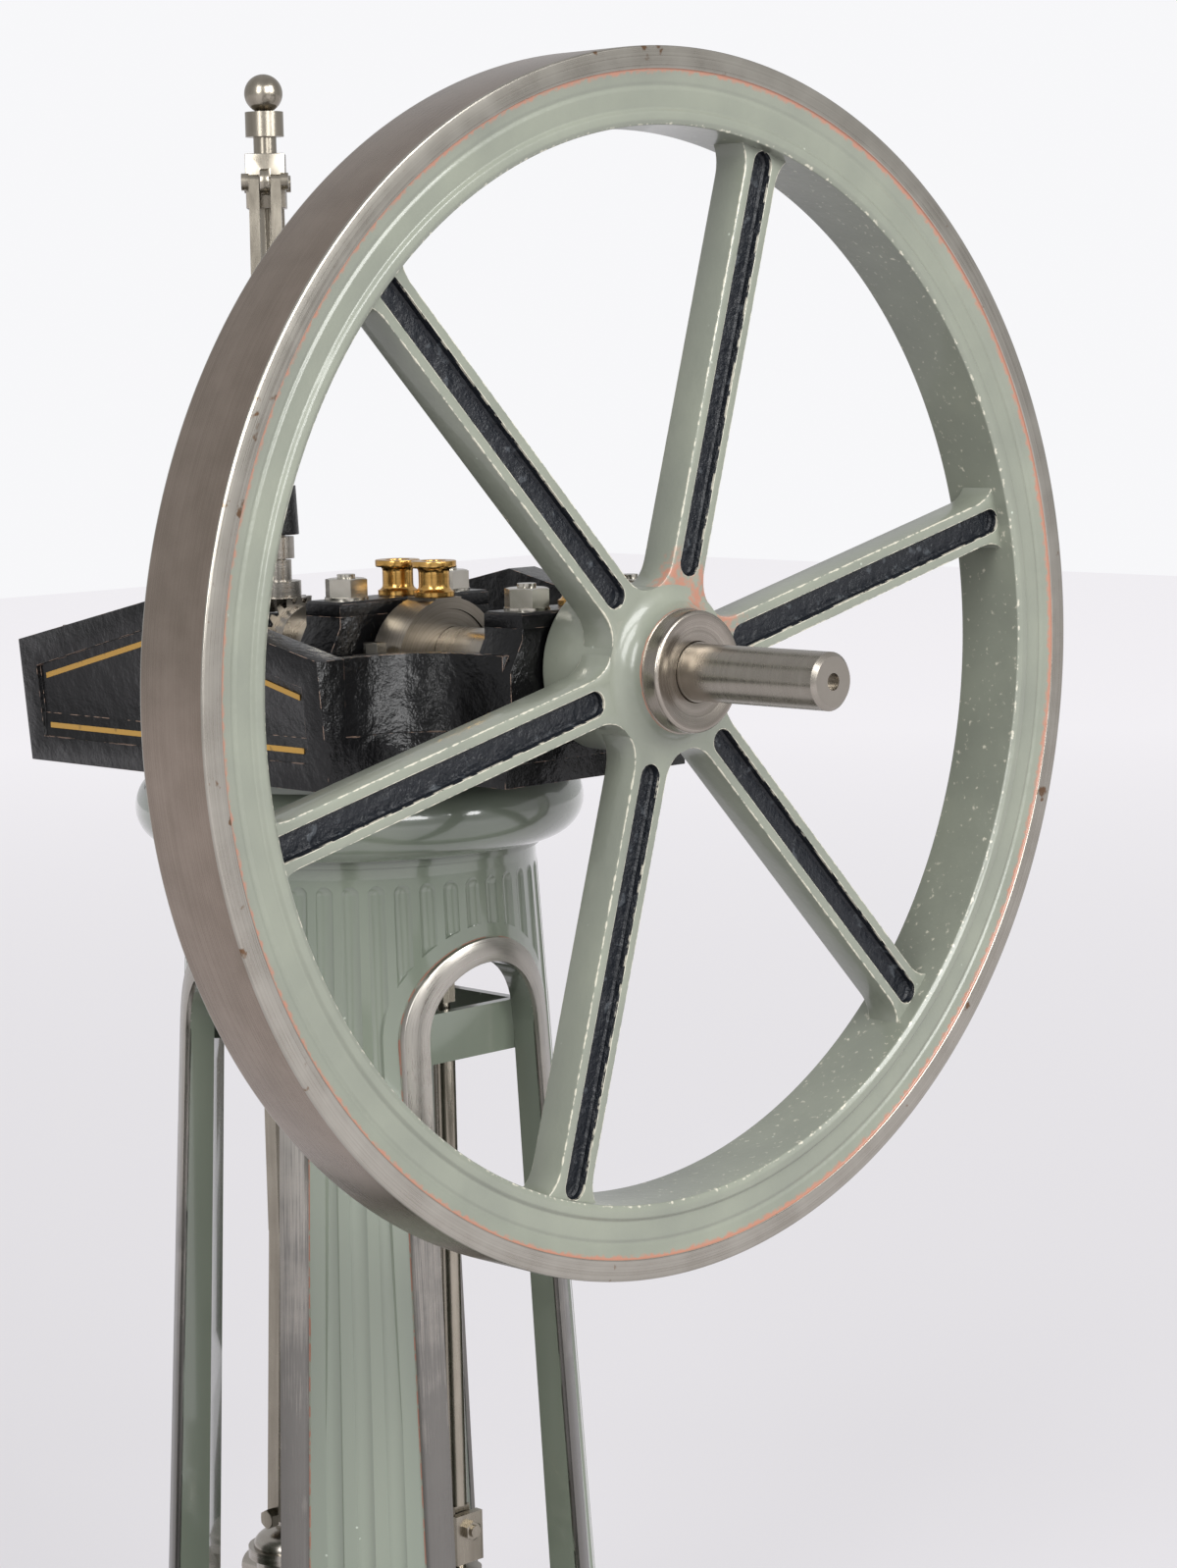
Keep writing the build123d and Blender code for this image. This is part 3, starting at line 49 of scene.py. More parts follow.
def makeCamera(v):
    # the view line is (sin yaw cos pitch, cos yaw cos pitch, -sin pitch), and the roll turns right and up round it
    yaw, pitch, roll = np.radians([v["yaw"], v["pitch"], v["roll"]])
    forward = np.array([np.sin(yaw) * np.cos(pitch), np.cos(yaw) * np.cos(pitch), -np.sin(pitch)])
    flatRight = np.array([np.cos(yaw), -np.sin(yaw), 0.0])
    flatUp = np.cross(flatRight, forward)
    right = np.cos(roll) * flatRight + np.sin(roll) * flatUp
    up = -np.sin(roll) * flatRight + np.cos(roll) * flatUp
    data = bpy.data.cameras.new("photoCamera")
    data.lens = v["lens"]
    data.sensor_width = v["sensor"]
    data.clip_start, data.clip_end = v["near"], v["far"]
    cam = bpy.data.objects.new("photoCamera", data)
    turn = Matrix((right, up, -forward)).transposed().to_4x4()
    turn.translation = Vector(v["place"]) * mm
    cam.matrix_world = turn
    scene.collection.objects.link(cam)
    scene.camera = cam


makeCamera(view)
print("camera set")


def toLinear(text):
    # sRGB hex to linear: values under 0.04045 are divided by 12.92, the rest are ((v + 0.055) / 1.055) to 2.4
    c = np.array([int(text[i:i + 2], 16) for i in (1, 3, 5)]) / 255
    c = np.where(c <= 0.04045, c / 12.92, ((c + 0.055) / 1.055) ** 2.4)
    return (*c.tolist(), 1.0)


def every(size):
    # how often a pattern repeats in a metre when its cells are that many mm wide: 1 / (size in metres)
    return 1 / (size * mm)


def addNode(tree, kind, settings=None, links=None, stops=()):
    # settings name sockets or properties, links name this node's input and the socket that feeds it,
    # and stops are the places of a colour ramp, each with a hex or a grey level
    node = tree.nodes.new(kind)
    for key, value in (settings or {}).items():
        if isinstance(key, int) or key in node.inputs:
            node.inputs[key].default_value = value
        else:
            setattr(node, key, value)
    for key, source in (links or {}).items():
        tree.links.new(source, node.inputs[key])
    for index, (place, value) in enumerate(stops):
        element = node.color_ramp.elements[index]
        element.position = place
        element.color = toLinear(value) if isinstance(value, str) else (value, value, value, 1)
    return node


def newMaterial(name, settings=None):
    mat = bpy.data.materials.new(name)
    mat.use_nodes = True
    tree = mat.node_tree
    tree.nodes.clear()
    out = addNode(tree, "ShaderNodeOutputMaterial")
    shader = addNode(tree, "ShaderNodeBsdfPrincipled", settings)
    tree.links.new(shader.outputs[0], out.inputs[0])
    coords = addNode(tree, "ShaderNodeTexCoord").outputs["Object"]
    return mat, tree, shader, coords


# enamel: what shows where it is dusty, chipped or rubbed through, and the sizes of its patterns in mm; a speck of
# dust is 0.2 mm wide in a cell of 3 mm
enamel = {"dust": "#C9D1C4", "chipped": "#BDB9A9", "primer": "#A06A55", "cloud": 16.667, "speck": 3.03,
          "speckGroup": 6.667, "wear": 1.111, "peel": 1.538, "wave": 9.091, "peelDepth": 0.5}


def sagePaint(name, base, shade, roughness, coat, streak, grain):
    # enamel brushed over a filled and rubbed-down casting: a glossy skin with soft orange peel, cloudy in tone and
    # with pale specks of dust; streak draws the clouds out along the column, grain is how strong the peel is, and
    # the attributes chip and primer let bare metal and red primer through on the edges
    e = enamel
    gloss = {"Roughness": roughness, "Coat Weight": coat, "Coat Roughness": 0.06}
    mat, tree, shader, coords = newMaterial(name, gloss)
    lay = addNode(tree, "ShaderNodeMapping", {"Scale": (1.0, 1.0, streak)}, {"Vector": coords}).outputs[0]
    cloud = addNode(tree, "ShaderNodeTexNoise", {"Scale": every(e["cloud"]), "Detail": 4.0}, {"Vector": lay})
    tone = addNode(tree, "ShaderNodeValToRGB", None, {"Fac": cloud.outputs[0]}, [(0.32, shade), (0.68, base)])
    # dust: the middles of speck cells, in those places where a coarser noise is high
    speck = addNode(tree, "ShaderNodeTexVoronoi", {"Scale": every(e["speck"])}, {"Vector": coords})
    dots = addNode(tree, "ShaderNodeValToRGB", None, {"Fac": speck.outputs["Distance"]}, [(0.05, 1.0), (0.09, 0.0)])
    group = addNode(tree, "ShaderNodeTexNoise", {"Scale": every(e["speckGroup"])}, {"Vector": coords})
    gate = addNode(tree, "ShaderNodeValToRGB", None, {"Fac": group.outputs[0]}, [(0.6, 0.0), (0.66, 0.45)])
    dust = addNode(tree, "ShaderNodeMath", {"operation": "MULTIPLY"}, {0: dots.outputs[0], 1: gate.outputs[0]})
    colour = addNode(tree, "ShaderNodeMixRGB", {2: toLinear(e["dust"])}, {0: dust.outputs[0], 1: tone.outputs[0]})
    # wear: each attribute times a fine noise, so that its edge is ragged
    fine = addNode(tree, "ShaderNodeTexNoise", {"Scale": every(e["wear"]), "Detail": 3.0}, {"Vector": coords})
    for attribute, shown, stops in (("chip", e["chipped"], [(0.42, 0.0), (0.5, 0.9)]),
                                    ("primer", e["primer"], [(0.3, 0.0), (0.5, 0.85)])):
        amount = addNode(tree, "ShaderNodeAttribute", {"attribute_name": attribute}).outputs["Fac"]
        level = addNode(tree, "ShaderNodeMath", {"operation": "MULTIPLY"}, {0: amount, 1: fine.outputs[0]})
        mask = addNode(tree, "ShaderNodeValToRGB", None, {"Fac": level.outputs[0]}, stops)
        colour = addNode(tree, "ShaderNodeMixRGB", {2: toLinear(shown)}, {0: mask.outputs[0], 1: colour.outputs[0]})
    tree.links.new(colour.outputs[0], shader.inputs["Base Color"])
    peel = addNode(tree, "ShaderNodeTexNoise", {"Scale": every(e["peel"]), "Detail": 2.0}, {"Vector": coords})
    wave = addNode(tree, "ShaderNodeTexNoise", {"Scale": every(e["wave"]), "Detail": 1.0}, {"Vector": lay})
    height = addNode(tree, "ShaderNodeMath", {"operation": "MULTIPLY_ADD", 1: grain},
                     {0: peel.outputs[0], 2: wave.outputs[0]})
    bump = addNode(tree, "ShaderNodeBump", {"Strength": 0.3, "Distance": e["peelDepth"] * mm},
                   {"Height": height.outputs[0]})
    tree.links.new(bump.outputs[0], shader.inputs["Normal"])
    return mat


# plain coats: the size of their worn spots and the depth of the surface under them, in mm
coating = {"spot": 2.381, "depth": 0.8}


def plainCoat(name, base, roughness, lump, strength, wearAndShadeColour, wornFrom):
    # one coat of paint straight on the metal: the grain under it shows through, lump mm wide, and where a noise is
    # over wornFrom the worn colour shows
    mat, tree, shader, coords = newMaterial(name, {"Roughness": roughness, "Specular IOR Level": 0.32})
    lumps = addNode(tree, "ShaderNodeTexNoise", {"Scale": every(lump), "Detail": 5.0, "Roughness": 0.62},
                    {"Vector": coords})
    spots = addNode(tree, "ShaderNodeTexNoise", {"Scale": every(coating["spot"]), "Detail": 4.0}, {"Vector": coords})
    mask = addNode(tree, "ShaderNodeValToRGB", None, {"Fac": spots.outputs[0]},
                   [(wornFrom, 0.0), (wornFrom + 0.06, 0.9)])
    colour = addNode(tree, "ShaderNodeMixRGB", {1: toLinear(base), 2: toLinear(wearAndShadeColour)}, {0: mask.outputs[0]})
    tree.links.new(colour.outputs[0], shader.inputs["Base Color"])
    bump = addNode(tree, "ShaderNodeBump", {"Strength": strength, "Distance": coating["depth"] * mm},
                   {"Height": lumps.outputs[0]})
    tree.links.new(bump.outputs[0], shader.inputs["Normal"])
    return mat


# machined metal: tool marks, stains and rust spots in mm; real marks are under 0.1 mm, so they are drawn coarser
machined = {"ring": 0.3125, "ringStep": 0.38462, "turned": 0.25, "stain": 7.143, "rust": 3.846, "depth": 0.04,
            "rustBrown": "#6B4A2C"}


def machinedMetal(name, base, shade, roughness, marks=None, ringsAt=None, rust=0.0, wearAndShadeColour=None):
    # tool marks are noise whose cells are marks mm along x, y and z, or rings round a point (x, z) of the wheel's
    # plane; the attribute across adds fine lines round a turned piece, rust adds brown spots, and the attribute
    # tarnish lets the darker colour through as painted shade, more of it lower down
    m = machined
    mat, tree, shader, coords = newMaterial(name, {"Metallic": 1.0})
    if ringsAt:
        middle = (ringsAt[0] * mm, 0, ringsAt[1] * mm)
        centred = addNode(tree, "ShaderNodeVectorMath", {"operation": "SUBTRACT", 1: middle}, {0: coords})
        flat = addNode(tree, "ShaderNodeVectorMath", {"operation": "MULTIPLY", 1: (1, 0, 1)}, {0: centred.outputs[0]})
        radius = addNode(tree, "ShaderNodeVectorMath", {"operation": "LENGTH"}, {0: flat.outputs[0]})
        depth = addNode(tree, "ShaderNodeSeparateXYZ", None, {0: coords})
        pair = addNode(tree, "ShaderNodeCombineXYZ", None, {"X": radius.outputs["Value"], "Y": depth.outputs["Y"]})
        spread = (every(m["ring"]), every(m["ringStep"]), 1.0)
        lay = addNode(tree, "ShaderNodeVectorMath", {"operation": "MULTIPLY", 1: spread}, {0: pair.outputs[0]})
    else:
        drawn = addNode(tree, "ShaderNodeMapping", {"Scale": [every(size) for size in marks]}, {"Vector": coords})
        across = addNode(tree, "ShaderNodeAttribute", {"attribute_name": "across"})
        turned = addNode(tree, "ShaderNodeCombineXYZ", None, {"X": across.outputs["Fac"]})
        fast = addNode(tree, "ShaderNodeVectorMath", {"operation": "MULTIPLY", 1: (1 / m["turned"], 1.0, 1.0)},
                       {0: turned.outputs[0]})
        lay = addNode(tree, "ShaderNodeVectorMath", {"operation": "ADD"}, {0: drawn.outputs[0], 1: fast.outputs[0]})
    lines = addNode(tree, "ShaderNodeTexNoise", {"Scale": 1.0, "Detail": 4.0, "Roughness": 0.6},
                    {"Vector": lay.outputs[0]})
    stains = addNode(tree, "ShaderNodeTexNoise", {"Scale": every(m["stain"]), "Detail": 3.0}, {"Vector": coords})
    level = addNode(tree, "ShaderNodeMath", {"operation": "MULTIPLY_ADD", 1: 0.6, 2: -0.3}, {0: stains.outputs[0]})
    mixed = addNode(tree, "ShaderNodeMath", {"operation": "ADD"}, {0: lines.outputs[0], 1: level.outputs[0]})
    tone = addNode(tree, "ShaderNodeValToRGB", None, {"Fac": mixed.outputs[0]}, [(0.3, shade), (0.7, base)])
    if rust:
        spots = addNode(tree, "ShaderNodeTexNoise", {"Scale": every(m["rust"]), "Detail": 5.0}, {"Vector": coords})
        mask = addNode(tree, "ShaderNodeValToRGB", None, {"Fac": spots.outputs[0]},
                       [(0.76 - rust, 0.0), (0.8 - rust, 0.85)])
        tone = addNode(tree, "ShaderNodeMixRGB", {2: toLinear(m["rustBrown"])},
                       {0: mask.outputs[0], 1: tone.outputs[0]})
    # painted shade: the darker colour is mixed in more the lower the point lies, by the height attribute, broken up by
    # the marks
    if wearAndShadeColour:
        heightShadeLevel = addNode(tree, "ShaderNodeAttribute", {"attribute_name": "tarnish"})
        uneven = addNode(tree, "ShaderNodeMath", {"operation": "MULTIPLY_ADD", 1: 1.2},
                         {0: mixed.outputs[0], 2: heightShadeLevel.outputs["Fac"]})
        mask = addNode(tree, "ShaderNodeValToRGB", None, {"Fac": uneven.outputs[0]}, [(0.62, 0.0), (1.0, 0.9)])
        tone = addNode(tree, "ShaderNodeMixRGB", {2: toLinear(wearAndShadeColour)}, {0: mask.outputs[0], 1: tone.outputs[0]})
    tree.links.new(tone.outputs[0], shader.inputs["Base Color"])
    rough = addNode(tree, "ShaderNodeMapRange", {"To Min": roughness * 0.8, "To Max": roughness * 1.25},
                    {"Value": mixed.outputs[0]})
    tree.links.new(rough.outputs[0], shader.inputs["Roughness"])
    bump = addNode(tree, "ShaderNodeBump", {"Strength": 0.12, "Distance": m["depth"] * mm},
                   {"Height": lines.outputs[0]})
    tree.links.new(bump.outputs[0], shader.inputs["Normal"])
    return mat


# gloss enamel on the column: rubbed down between coats, so it mirrors the lamps in long soft streaks
columnPaint = sagePaint("sageGlossEnamel", "#70776A", "#666E62", 0.2, 1.0, 0.12, 0.06)
# the wheel's enamel: one brushed coat, satin and paler, with more orange peel
wheelPaint = sagePaint("sageSatinEnamel", "#7E8275", "#73776C", 0.34, 0.4, 1.0, 0.4)
# black gloss paint on a sand casting: the coarse grain of the mould breaks up its reflections
castBlack = plainCoat("glossBlackOnCasting", "#0A0A0B", 0.2, 4.0, 0.75, "#1A1A1B", 0.7)
# the same paint on machined bearing caps: finer and flatter
capBlack = plainCoat("blackOnMachinedCap", "#0D0D0E", 0.25, 1.4286, 0.35, "#1B1B1C", 0.7)
# black paint rubbed off the corners: brown metal shows along them
edgeBlack = plainCoat("blackWornOnEdges", "#151414", 0.3, 1.4286, 0.3, "#9A8172", 0.5)
# blue-black paint in the spokes' recesses, left rough as cast
slotBlack = plainCoat("blueBlackInRecess", "#14171C", 0.32, 2.381, 0.9, "#3C4044", 0.62)
# the recesses' hand-cut border, where the dark paint has flaked to pale filler
chippedEdge = plainCoat("chippedRecessEdge", "#181B1F", 0.36, 1.6667, 0.6, "#A9A597", 0.48)
# red oxide primer, flat and dry, that was left beside the bands
barePrimer = plainCoat("redOxidePrimer", "#7F5A4B", 0.5, 1.1111, 0.2, "#6C7367", 0.5)
# gold lining enamel, drawn with a fine brush, duller than metal
gold = plainCoat("goldLiningEnamel", "#A8823C", 0.4, 1.1111, 0.15, "#7E6130", 0.62)
# the rim's outside: turned steel, its base darker and browner than the faced ring's, partly its own tone and partly a
# painted reflection of dim brown surroundings, with faint marks round it
rimSteel = machinedMetal("turnedRimSteel", "#9A8D82", "#85796E", 0.27, (83.333, 83.333, 83.333))
# the rim's faced ring: brighter, with small rust spots
faceSteel = machinedMetal("facedRimSteel", "#AFABA2", "#98938A", 0.28, (83.333, 83.333, 83.333), rust=0.09)
# the wheel's faced boss: rings round the shaft
bossSteel = machinedMetal("facedBossSteel", "#A19A91", "#8B847B", 0.26, ringsAt=wheelAxis)
# the crankshaft: turned, its marks close together along the shaft
shaftSteel = machinedMetal("turnedShaftSteel", "#9F9990", "#958F86", 0.27, (166.67, 1.1111, 166.67))
# the eccentric and its strap: faced iron, rings round the strap's own centre
strapSteel = machinedMetal("turnedStrapSteel", "#9A9388", "#857D72", 0.3, ringsAt=(-1.5, 240.0))
# small parts turned upright: bright, with fine level marks
turnedSteel = machinedMetal("turnedSteel", "#B4AFA7", "#A59F96", 0.26, (16.667, 16.667, 0.83333))
# plated nuts and bolts: the brightest and smoothest metal here
nickel = machinedMetal("nickelHexagon", "#C2BEB4", "#B3AEA3", 0.2, (6.6667, 6.6667, 6.6667))
# drawn rods: fine scratches along their length
rodSteel = machinedMetal("drawnSteelRod", "#A39C8F", "#8F887C", 0.26, (1.4286, 1.4286, 20.0))
# bands polished along their length, with a painted reflection that keeps them bright at the crown and painted shade
# that darkens them lower down
bandSteel = machinedMetal("draggedSteelBand", "#B5B1A9", "#9A958E", 0.28, (16.667, 16.667, 16.667), wearAndShadeColour="#6E6C69")
# oil cups and bushes: turned brass, a little dull
brass = machinedMetal("turnedBrass", "#D6AC66", "#B78B48", 0.2, (50.0, 50.0, 1.1111))
print("materials set")


def surfaceGrid(points, loop=False, caps=False, material=0, **attributes):
    # columns run round each row, and each quad joins four neighbours; loop joins the last row to the first, caps
    # close the end rows, and faces turn round where the volume, the sum of a . (b x c) / 6, is negative
    rows, cols = points.shape[:2]
    row = np.arange(rows if loop else rows - 1)[:, None]
    col = np.arange(cols)[None, :]
    nextRow, nextCol = (row + 1) % rows, (col + 1) % cols
    quads = np.stack([row * cols + col, row * cols + nextCol, nextRow * cols + nextCol, nextRow * cols + col], -1)
    slots = np.broadcast_to(material, quads.shape[:2]).reshape(-1)
    quads = quads.reshape(-1, 4)
    ends = np.empty((0, cols), int)
    if caps:
        ends = np.stack([np.arange(cols)[::-1], np.arange(cols) + (rows - 1) * cols])
        slots = np.append(slots, [slots[0], slots[-1]])
    flat = points.reshape(-1, 3)
    fans = [quads[:, [0, 1, 2]], quads[:, [0, 2, 3]]]
    fans += [np.stack([np.full(cols - 2, end[0]), end[1:-1], end[2:]], -1) for end in ends]
    tris = flat[np.concatenate(fans)]
    if np.einsum("ij,ij->i", tris[:, 0], np.cross(tris[:, 1], tris[:, 2])).sum() < 0:
        quads, ends = quads[:, ::-1], ends[:, ::-1]
    layers = {key: np.broadcast_to(value, (rows, cols)).reshape(-1) for key, value in attributes.items()}
    return {"points": flat, "faces": (quads, ends), "slots": slots, "layers": layers}


def makePiece(name, grids, materials, body, replaced=(), sharp=32):
    # joins the grids into one mesh in metres, smooth but for edges sharper than the angle in degrees
    points = np.concatenate([g["points"] for g in grids]) * mm
    starts = np.cumsum([0] + [len(g["points"]) for g in grids])
    faces = [face for g, start in zip(grids, starts) for part in g["faces"] for face in (part + start).tolist()]
    mesh = bpy.data.meshes.new(name)
    mesh.from_pydata(points.tolist(), [], faces)
    for key in sorted({key for g in grids for key in g["layers"]}):
        values = np.concatenate([g["layers"].get(key, np.zeros(len(g["points"]))) for g in grids])
        mesh.attributes.new(key, "FLOAT", "POINT").data.foreach_set("value", values.astype(np.float32))
    for material in materials:
        mesh.materials.append(material)
    slots = np.concatenate([g["slots"] for g in grids])
    mesh.polygons.foreach_set("material_index", slots.astype(np.int32))
    mesh.shade_smooth()
    mesh.set_sharp_from_angle(angle=np.radians(sharp))
    piece = bpy.data.objects.new(name, mesh)
    scene.collection.objects.link(piece)
    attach(piece, body)
    if replaced:
        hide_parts(*replaced)


def roundedOutline(corners, radius, steps=4):
    # each corner P becomes the curve (1 - t)^2 A + 2 t (1 - t) P + t^2 C, with A and C at the radius along its
    # sides, or at 0.45 of a side that is shorter
    p = np.asarray(corners, float)
    back, ahead = np.roll(p, 1, 0) - p, np.roll(p, -1, 0) - p
    cut = np.broadcast_to(np.asarray(radius, float).reshape(-1), (len(p),))
    backLength, aheadLength = np.linalg.norm(back, axis=1), np.linalg.norm(ahead, axis=1)
    a = p + back * (np.minimum(cut, backLength * 0.45) / backLength)[:, None]
    c = p + ahead * (np.minimum(cut, aheadLength * 0.45) / aheadLength)[:, None]
    t = np.linspace(0, 1, steps + 1)[None, :, None]
    return ((1 - t) ** 2 * a[:, None] + 2 * t * (1 - t) * p[:, None] + t ** 2 * c[:, None]).reshape(-1, 2)


def latheGrid(outline, segments, centre, upright=False, **settings):
    # the outline holds (place along the axis, radius r); round the centre each point goes to (r cos a, r sin a)
    angle = np.linspace(0, 2 * np.pi, segments, endpoint=False)[None, :]
    place, radius = outline[:, 0:1], outline[:, 1:2]
    wide, tall = radius * np.cos(angle), radius * np.sin(angle)
    level = np.broadcast_to(place, wide.shape)
    order = [centre[0] + wide, centre[1] + tall, level] if upright else [centre[0] + wide, level, centre[1] + tall]
    travel = np.concatenate([[0], np.cumsum(np.linalg.norm(np.diff(outline, axis=0), axis=1))])
    return surfaceGrid(np.stack(order, -1), across=travel[:, None], **settings)


# flywheel rim, in mm: turned outside, faced ring, and a painted channel with grooves and a raised lip, given as
# (depth in from the face, radius) from the ring inwards; edge and outerEdge are how far corners are rounded
rim = {"front": -83.0, "back": -68.0, "radius": 101.6, "ring": 98.0, "segments": 360,
       "channel": [(0.35, 97.85), (0.75, 95.9), (1.05, 95.3), (0.8, 94.7), (1.0, 92.3), (1.1, 91.7), (0.55, 91.1),
                   (0.5, 89.9), (1.0, 89.0)], "edge": 0.22, "outerEdge": 0.45, "faceDepth": 0.4,
       "primerAt": 97.85, "primerWidth": 0.28, "primerLevel": 1.6, "chipAt": 89.3, "chipWidth": 0.6, "chipLevel": 0.85}


def makeRim(r):
    # primer and chips fade from their radius as level exp(-(distance / width)^2)
    face = np.array([(0.0, r["radius"]), (0.0, r["ring"]), *r["channel"]])
    corners = np.concatenate([face + (r["front"], 0), face[::-1] * (-1, 1) + (r["back"], 0)])
    cuts = np.full(len(corners), r["edge"])
    cuts[[0, -1]] = r["outerEdge"]
    outline = roundedOutline(corners, cuts)
    mid = (outline + np.roll(outline, -1, 0)) / 2
    onFace = (mid[:, 0] < r["front"] + r["faceDepth"]) | (mid[:, 0] > r["back"] - r["faceDepth"])
    material = np.where(mid[:, 1] > r["ring"] - 0.02, np.where(onFace, 1, 0), 2)[:, None]
    primer = r["primerLevel"] * np.exp(-((outline[:, 1:2] - r["primerAt"]) / r["primerWidth"]) ** 2)
    chip = r["chipLevel"] * np.exp(-((outline[:, 1:2] - r["chipAt"]) / r["chipWidth"]) ** 2)
    grid = latheGrid(outline, r["segments"], wheelAxis, loop=True, material=material, primer=primer, chip=chip)
    makePiece("flywheelRim", [grid], [rimSteel, faceSteel, wheelPaint], "crank", ["flywheel"])


# hub, in mm: cast flare up to the turned boss, bored for the shaft, its front dished as (depth, radius); step is how
# far the flare's end stands over the boss, and cuts are how far each corner is rounded, from the bore's front on;
# the paint is rubbed to the primer in a patch towards the upper right, whose place and width are in radians
hub = {"bore": 5.05, "radius": 14.2, "boss": 10.2, "back": -63.4, "web": -79.4, "bossFoot": -82.9, "front": -86.0,
       "step": 0.25, "dish": [(0.02, 8.8), (0.35, 7.2)], "cuts": [0.2, 0.2, 0.5, 0.01, 0.01, 0.05, 0.9, 0.6, 0.4],
       "segments": 160, "primerWidth": 0.35, "primerLevel": 1.5, "patchAt": 1.05, "patchWidth": 0.32,
       "patchLevel": 0.92}


def makeHub(h):
    # the flare is a quarter ellipse: radius = hub - (hub - boss - step) sin(a), place = web - depth (1 - cos(a))
    turn = np.linspace(0, np.pi / 2, 14)
    flare = np.stack([h["web"] - (h["web"] - h["bossFoot"]) * (1 - np.cos(turn)),
                      h["radius"] - (h["radius"] - h["boss"] - h["step"]) * np.sin(turn)], -1)
    dish = np.array(h["dish"]) + (h["front"], 0)
    foot = [(dish[-1, 0], h["bore"]), (h["back"], h["bore"]), (h["back"], h["radius"])]
    boss = [(h["bossFoot"] - 0.05, h["boss"]), (h["front"], h["boss"]), *dish]
    # five points a corner: three corners before the flare, its own two, which it takes the place of, and the boss
    ends = roundedOutline(np.concatenate([foot, flare[:1], flare[-1:], boss]), h["cuts"])
    outline = np.concatenate([ends[:3 * 5], flare, ends[5 * 5:]])
    mid = (outline + np.roll(outline, -1, 0)) / 2
    painted = (mid[:, 0] > h["bossFoot"]) & (mid[:, 1] > h["boss"])
    # primer fades from the boss's foot, and round the patch's middle, as level exp(-(distance / width)^2)
    place, radius = outline[:, 0:1], outline[:, 1:2]
    primer = h["primerLevel"] * np.exp(-((place - h["bossFoot"]) / h["primerWidth"]) ** 2) * (radius > h["boss"])
    around = np.linspace(0, 2 * np.pi, h["segments"], endpoint=False)[None, :]
    patch = h["patchLevel"] * np.exp(-((around - h["patchAt"]) / h["patchWidth"]) ** 2)
    primer = np.maximum(primer, patch * (place < h["web"] + 0.5) * (radius > h["boss"] + 0.3))
    material = np.where(painted, 1, 0)[:, None]
    grid = latheGrid(outline, h["segments"], wheelAxis, loop=True, material=material, primer=primer)
    makePiece("flywheelHub", [grid], [bossSteel, wheelPaint], "crank")


# spokes, in mm: flared into hub and rim, with a round-ended recess on both faces; the first two are rubbed to the
# primer near the hub
spoke = {"count": 6, "first": 13.5, "half": 4.0, "flare": 3.4, "flareRun": 2.2, "start": 12.6, "end": 89.6,
         "face": -79.4, "back": -72.4, "ribHalf": 2.85, "slotHalf": 2.1, "slotStart": 16.1, "slotEnd": 88.9,
         "slotDepth": 1.6, "along": 90, "round": 14, "rubbed": 2, "rubbedAt": 14, "rubbedWidth": 9, "rubbedLevel": 0.9}


def ribLoop(s, half):
    # a strip from hub to rim, of one half width or of one for each point along it, with square ends
    x = np.linspace(s["start"], s["end"], s["along"])
    width = np.broadcast_to(half, x.shape)
    sweep = np.linspace(1, -1, s["round"] + 2)[1:-1]
    upper, lower = np.stack([x, width], -1), np.stack([x[::-1], -width[::-1]], -1)
    farEnd = np.stack([np.full(s["round"], s["end"]), sweep * width[-1]], -1)
    nearEnd = np.stack([np.full(s["round"], s["start"]), -sweep * width[0]], -1)
    return np.concatenate([upper, farEnd, lower, nearEnd])


def spokeLoop(s, inset):
    # half width plus flare (1 - sqrt(1 - d^2)), d running from 1 at an end to 0 at the flare's reach
    x = np.linspace(s["start"], s["end"], s["along"])
    reach = s["flare"] + s["flareRun"]
    hubSide = np.clip((s["start"] + reach - x) / reach, 0, 0.97)
    rimSide = np.clip((x - s["end"] + reach) / reach, 0, 0.97)
    flares = s["flare"] * (2 - np.sqrt(1 - hubSide ** 2) - np.sqrt(1 - rimSide ** 2))
    return ribLoop(s, s["half"] - inset + flares)


def slotLoop(s, inset):
    # the same number of points round the recess: two straight sides and two half circles
    half = s["slotHalf"] - inset
    x = np.linspace(s["slotStart"] + s["slotHalf"], s["slotEnd"] - s["slotHalf"], s["along"])
    turn = np.linspace(np.pi / 2, -np.pi / 2, s["round"] + 2)[1:-1]
    farEnd = np.stack([x[-1] + half * np.cos(turn), half * np.sin(turn)], -1)
    nearEnd = np.stack([x[0] - half * np.cos(turn), -half * np.sin(turn)], -1)
    upper = np.stack([x, np.full_like(x, half)], -1)
    return np.concatenate([upper, farEnd, upper[::-1] * (1, -1), nearEnd])


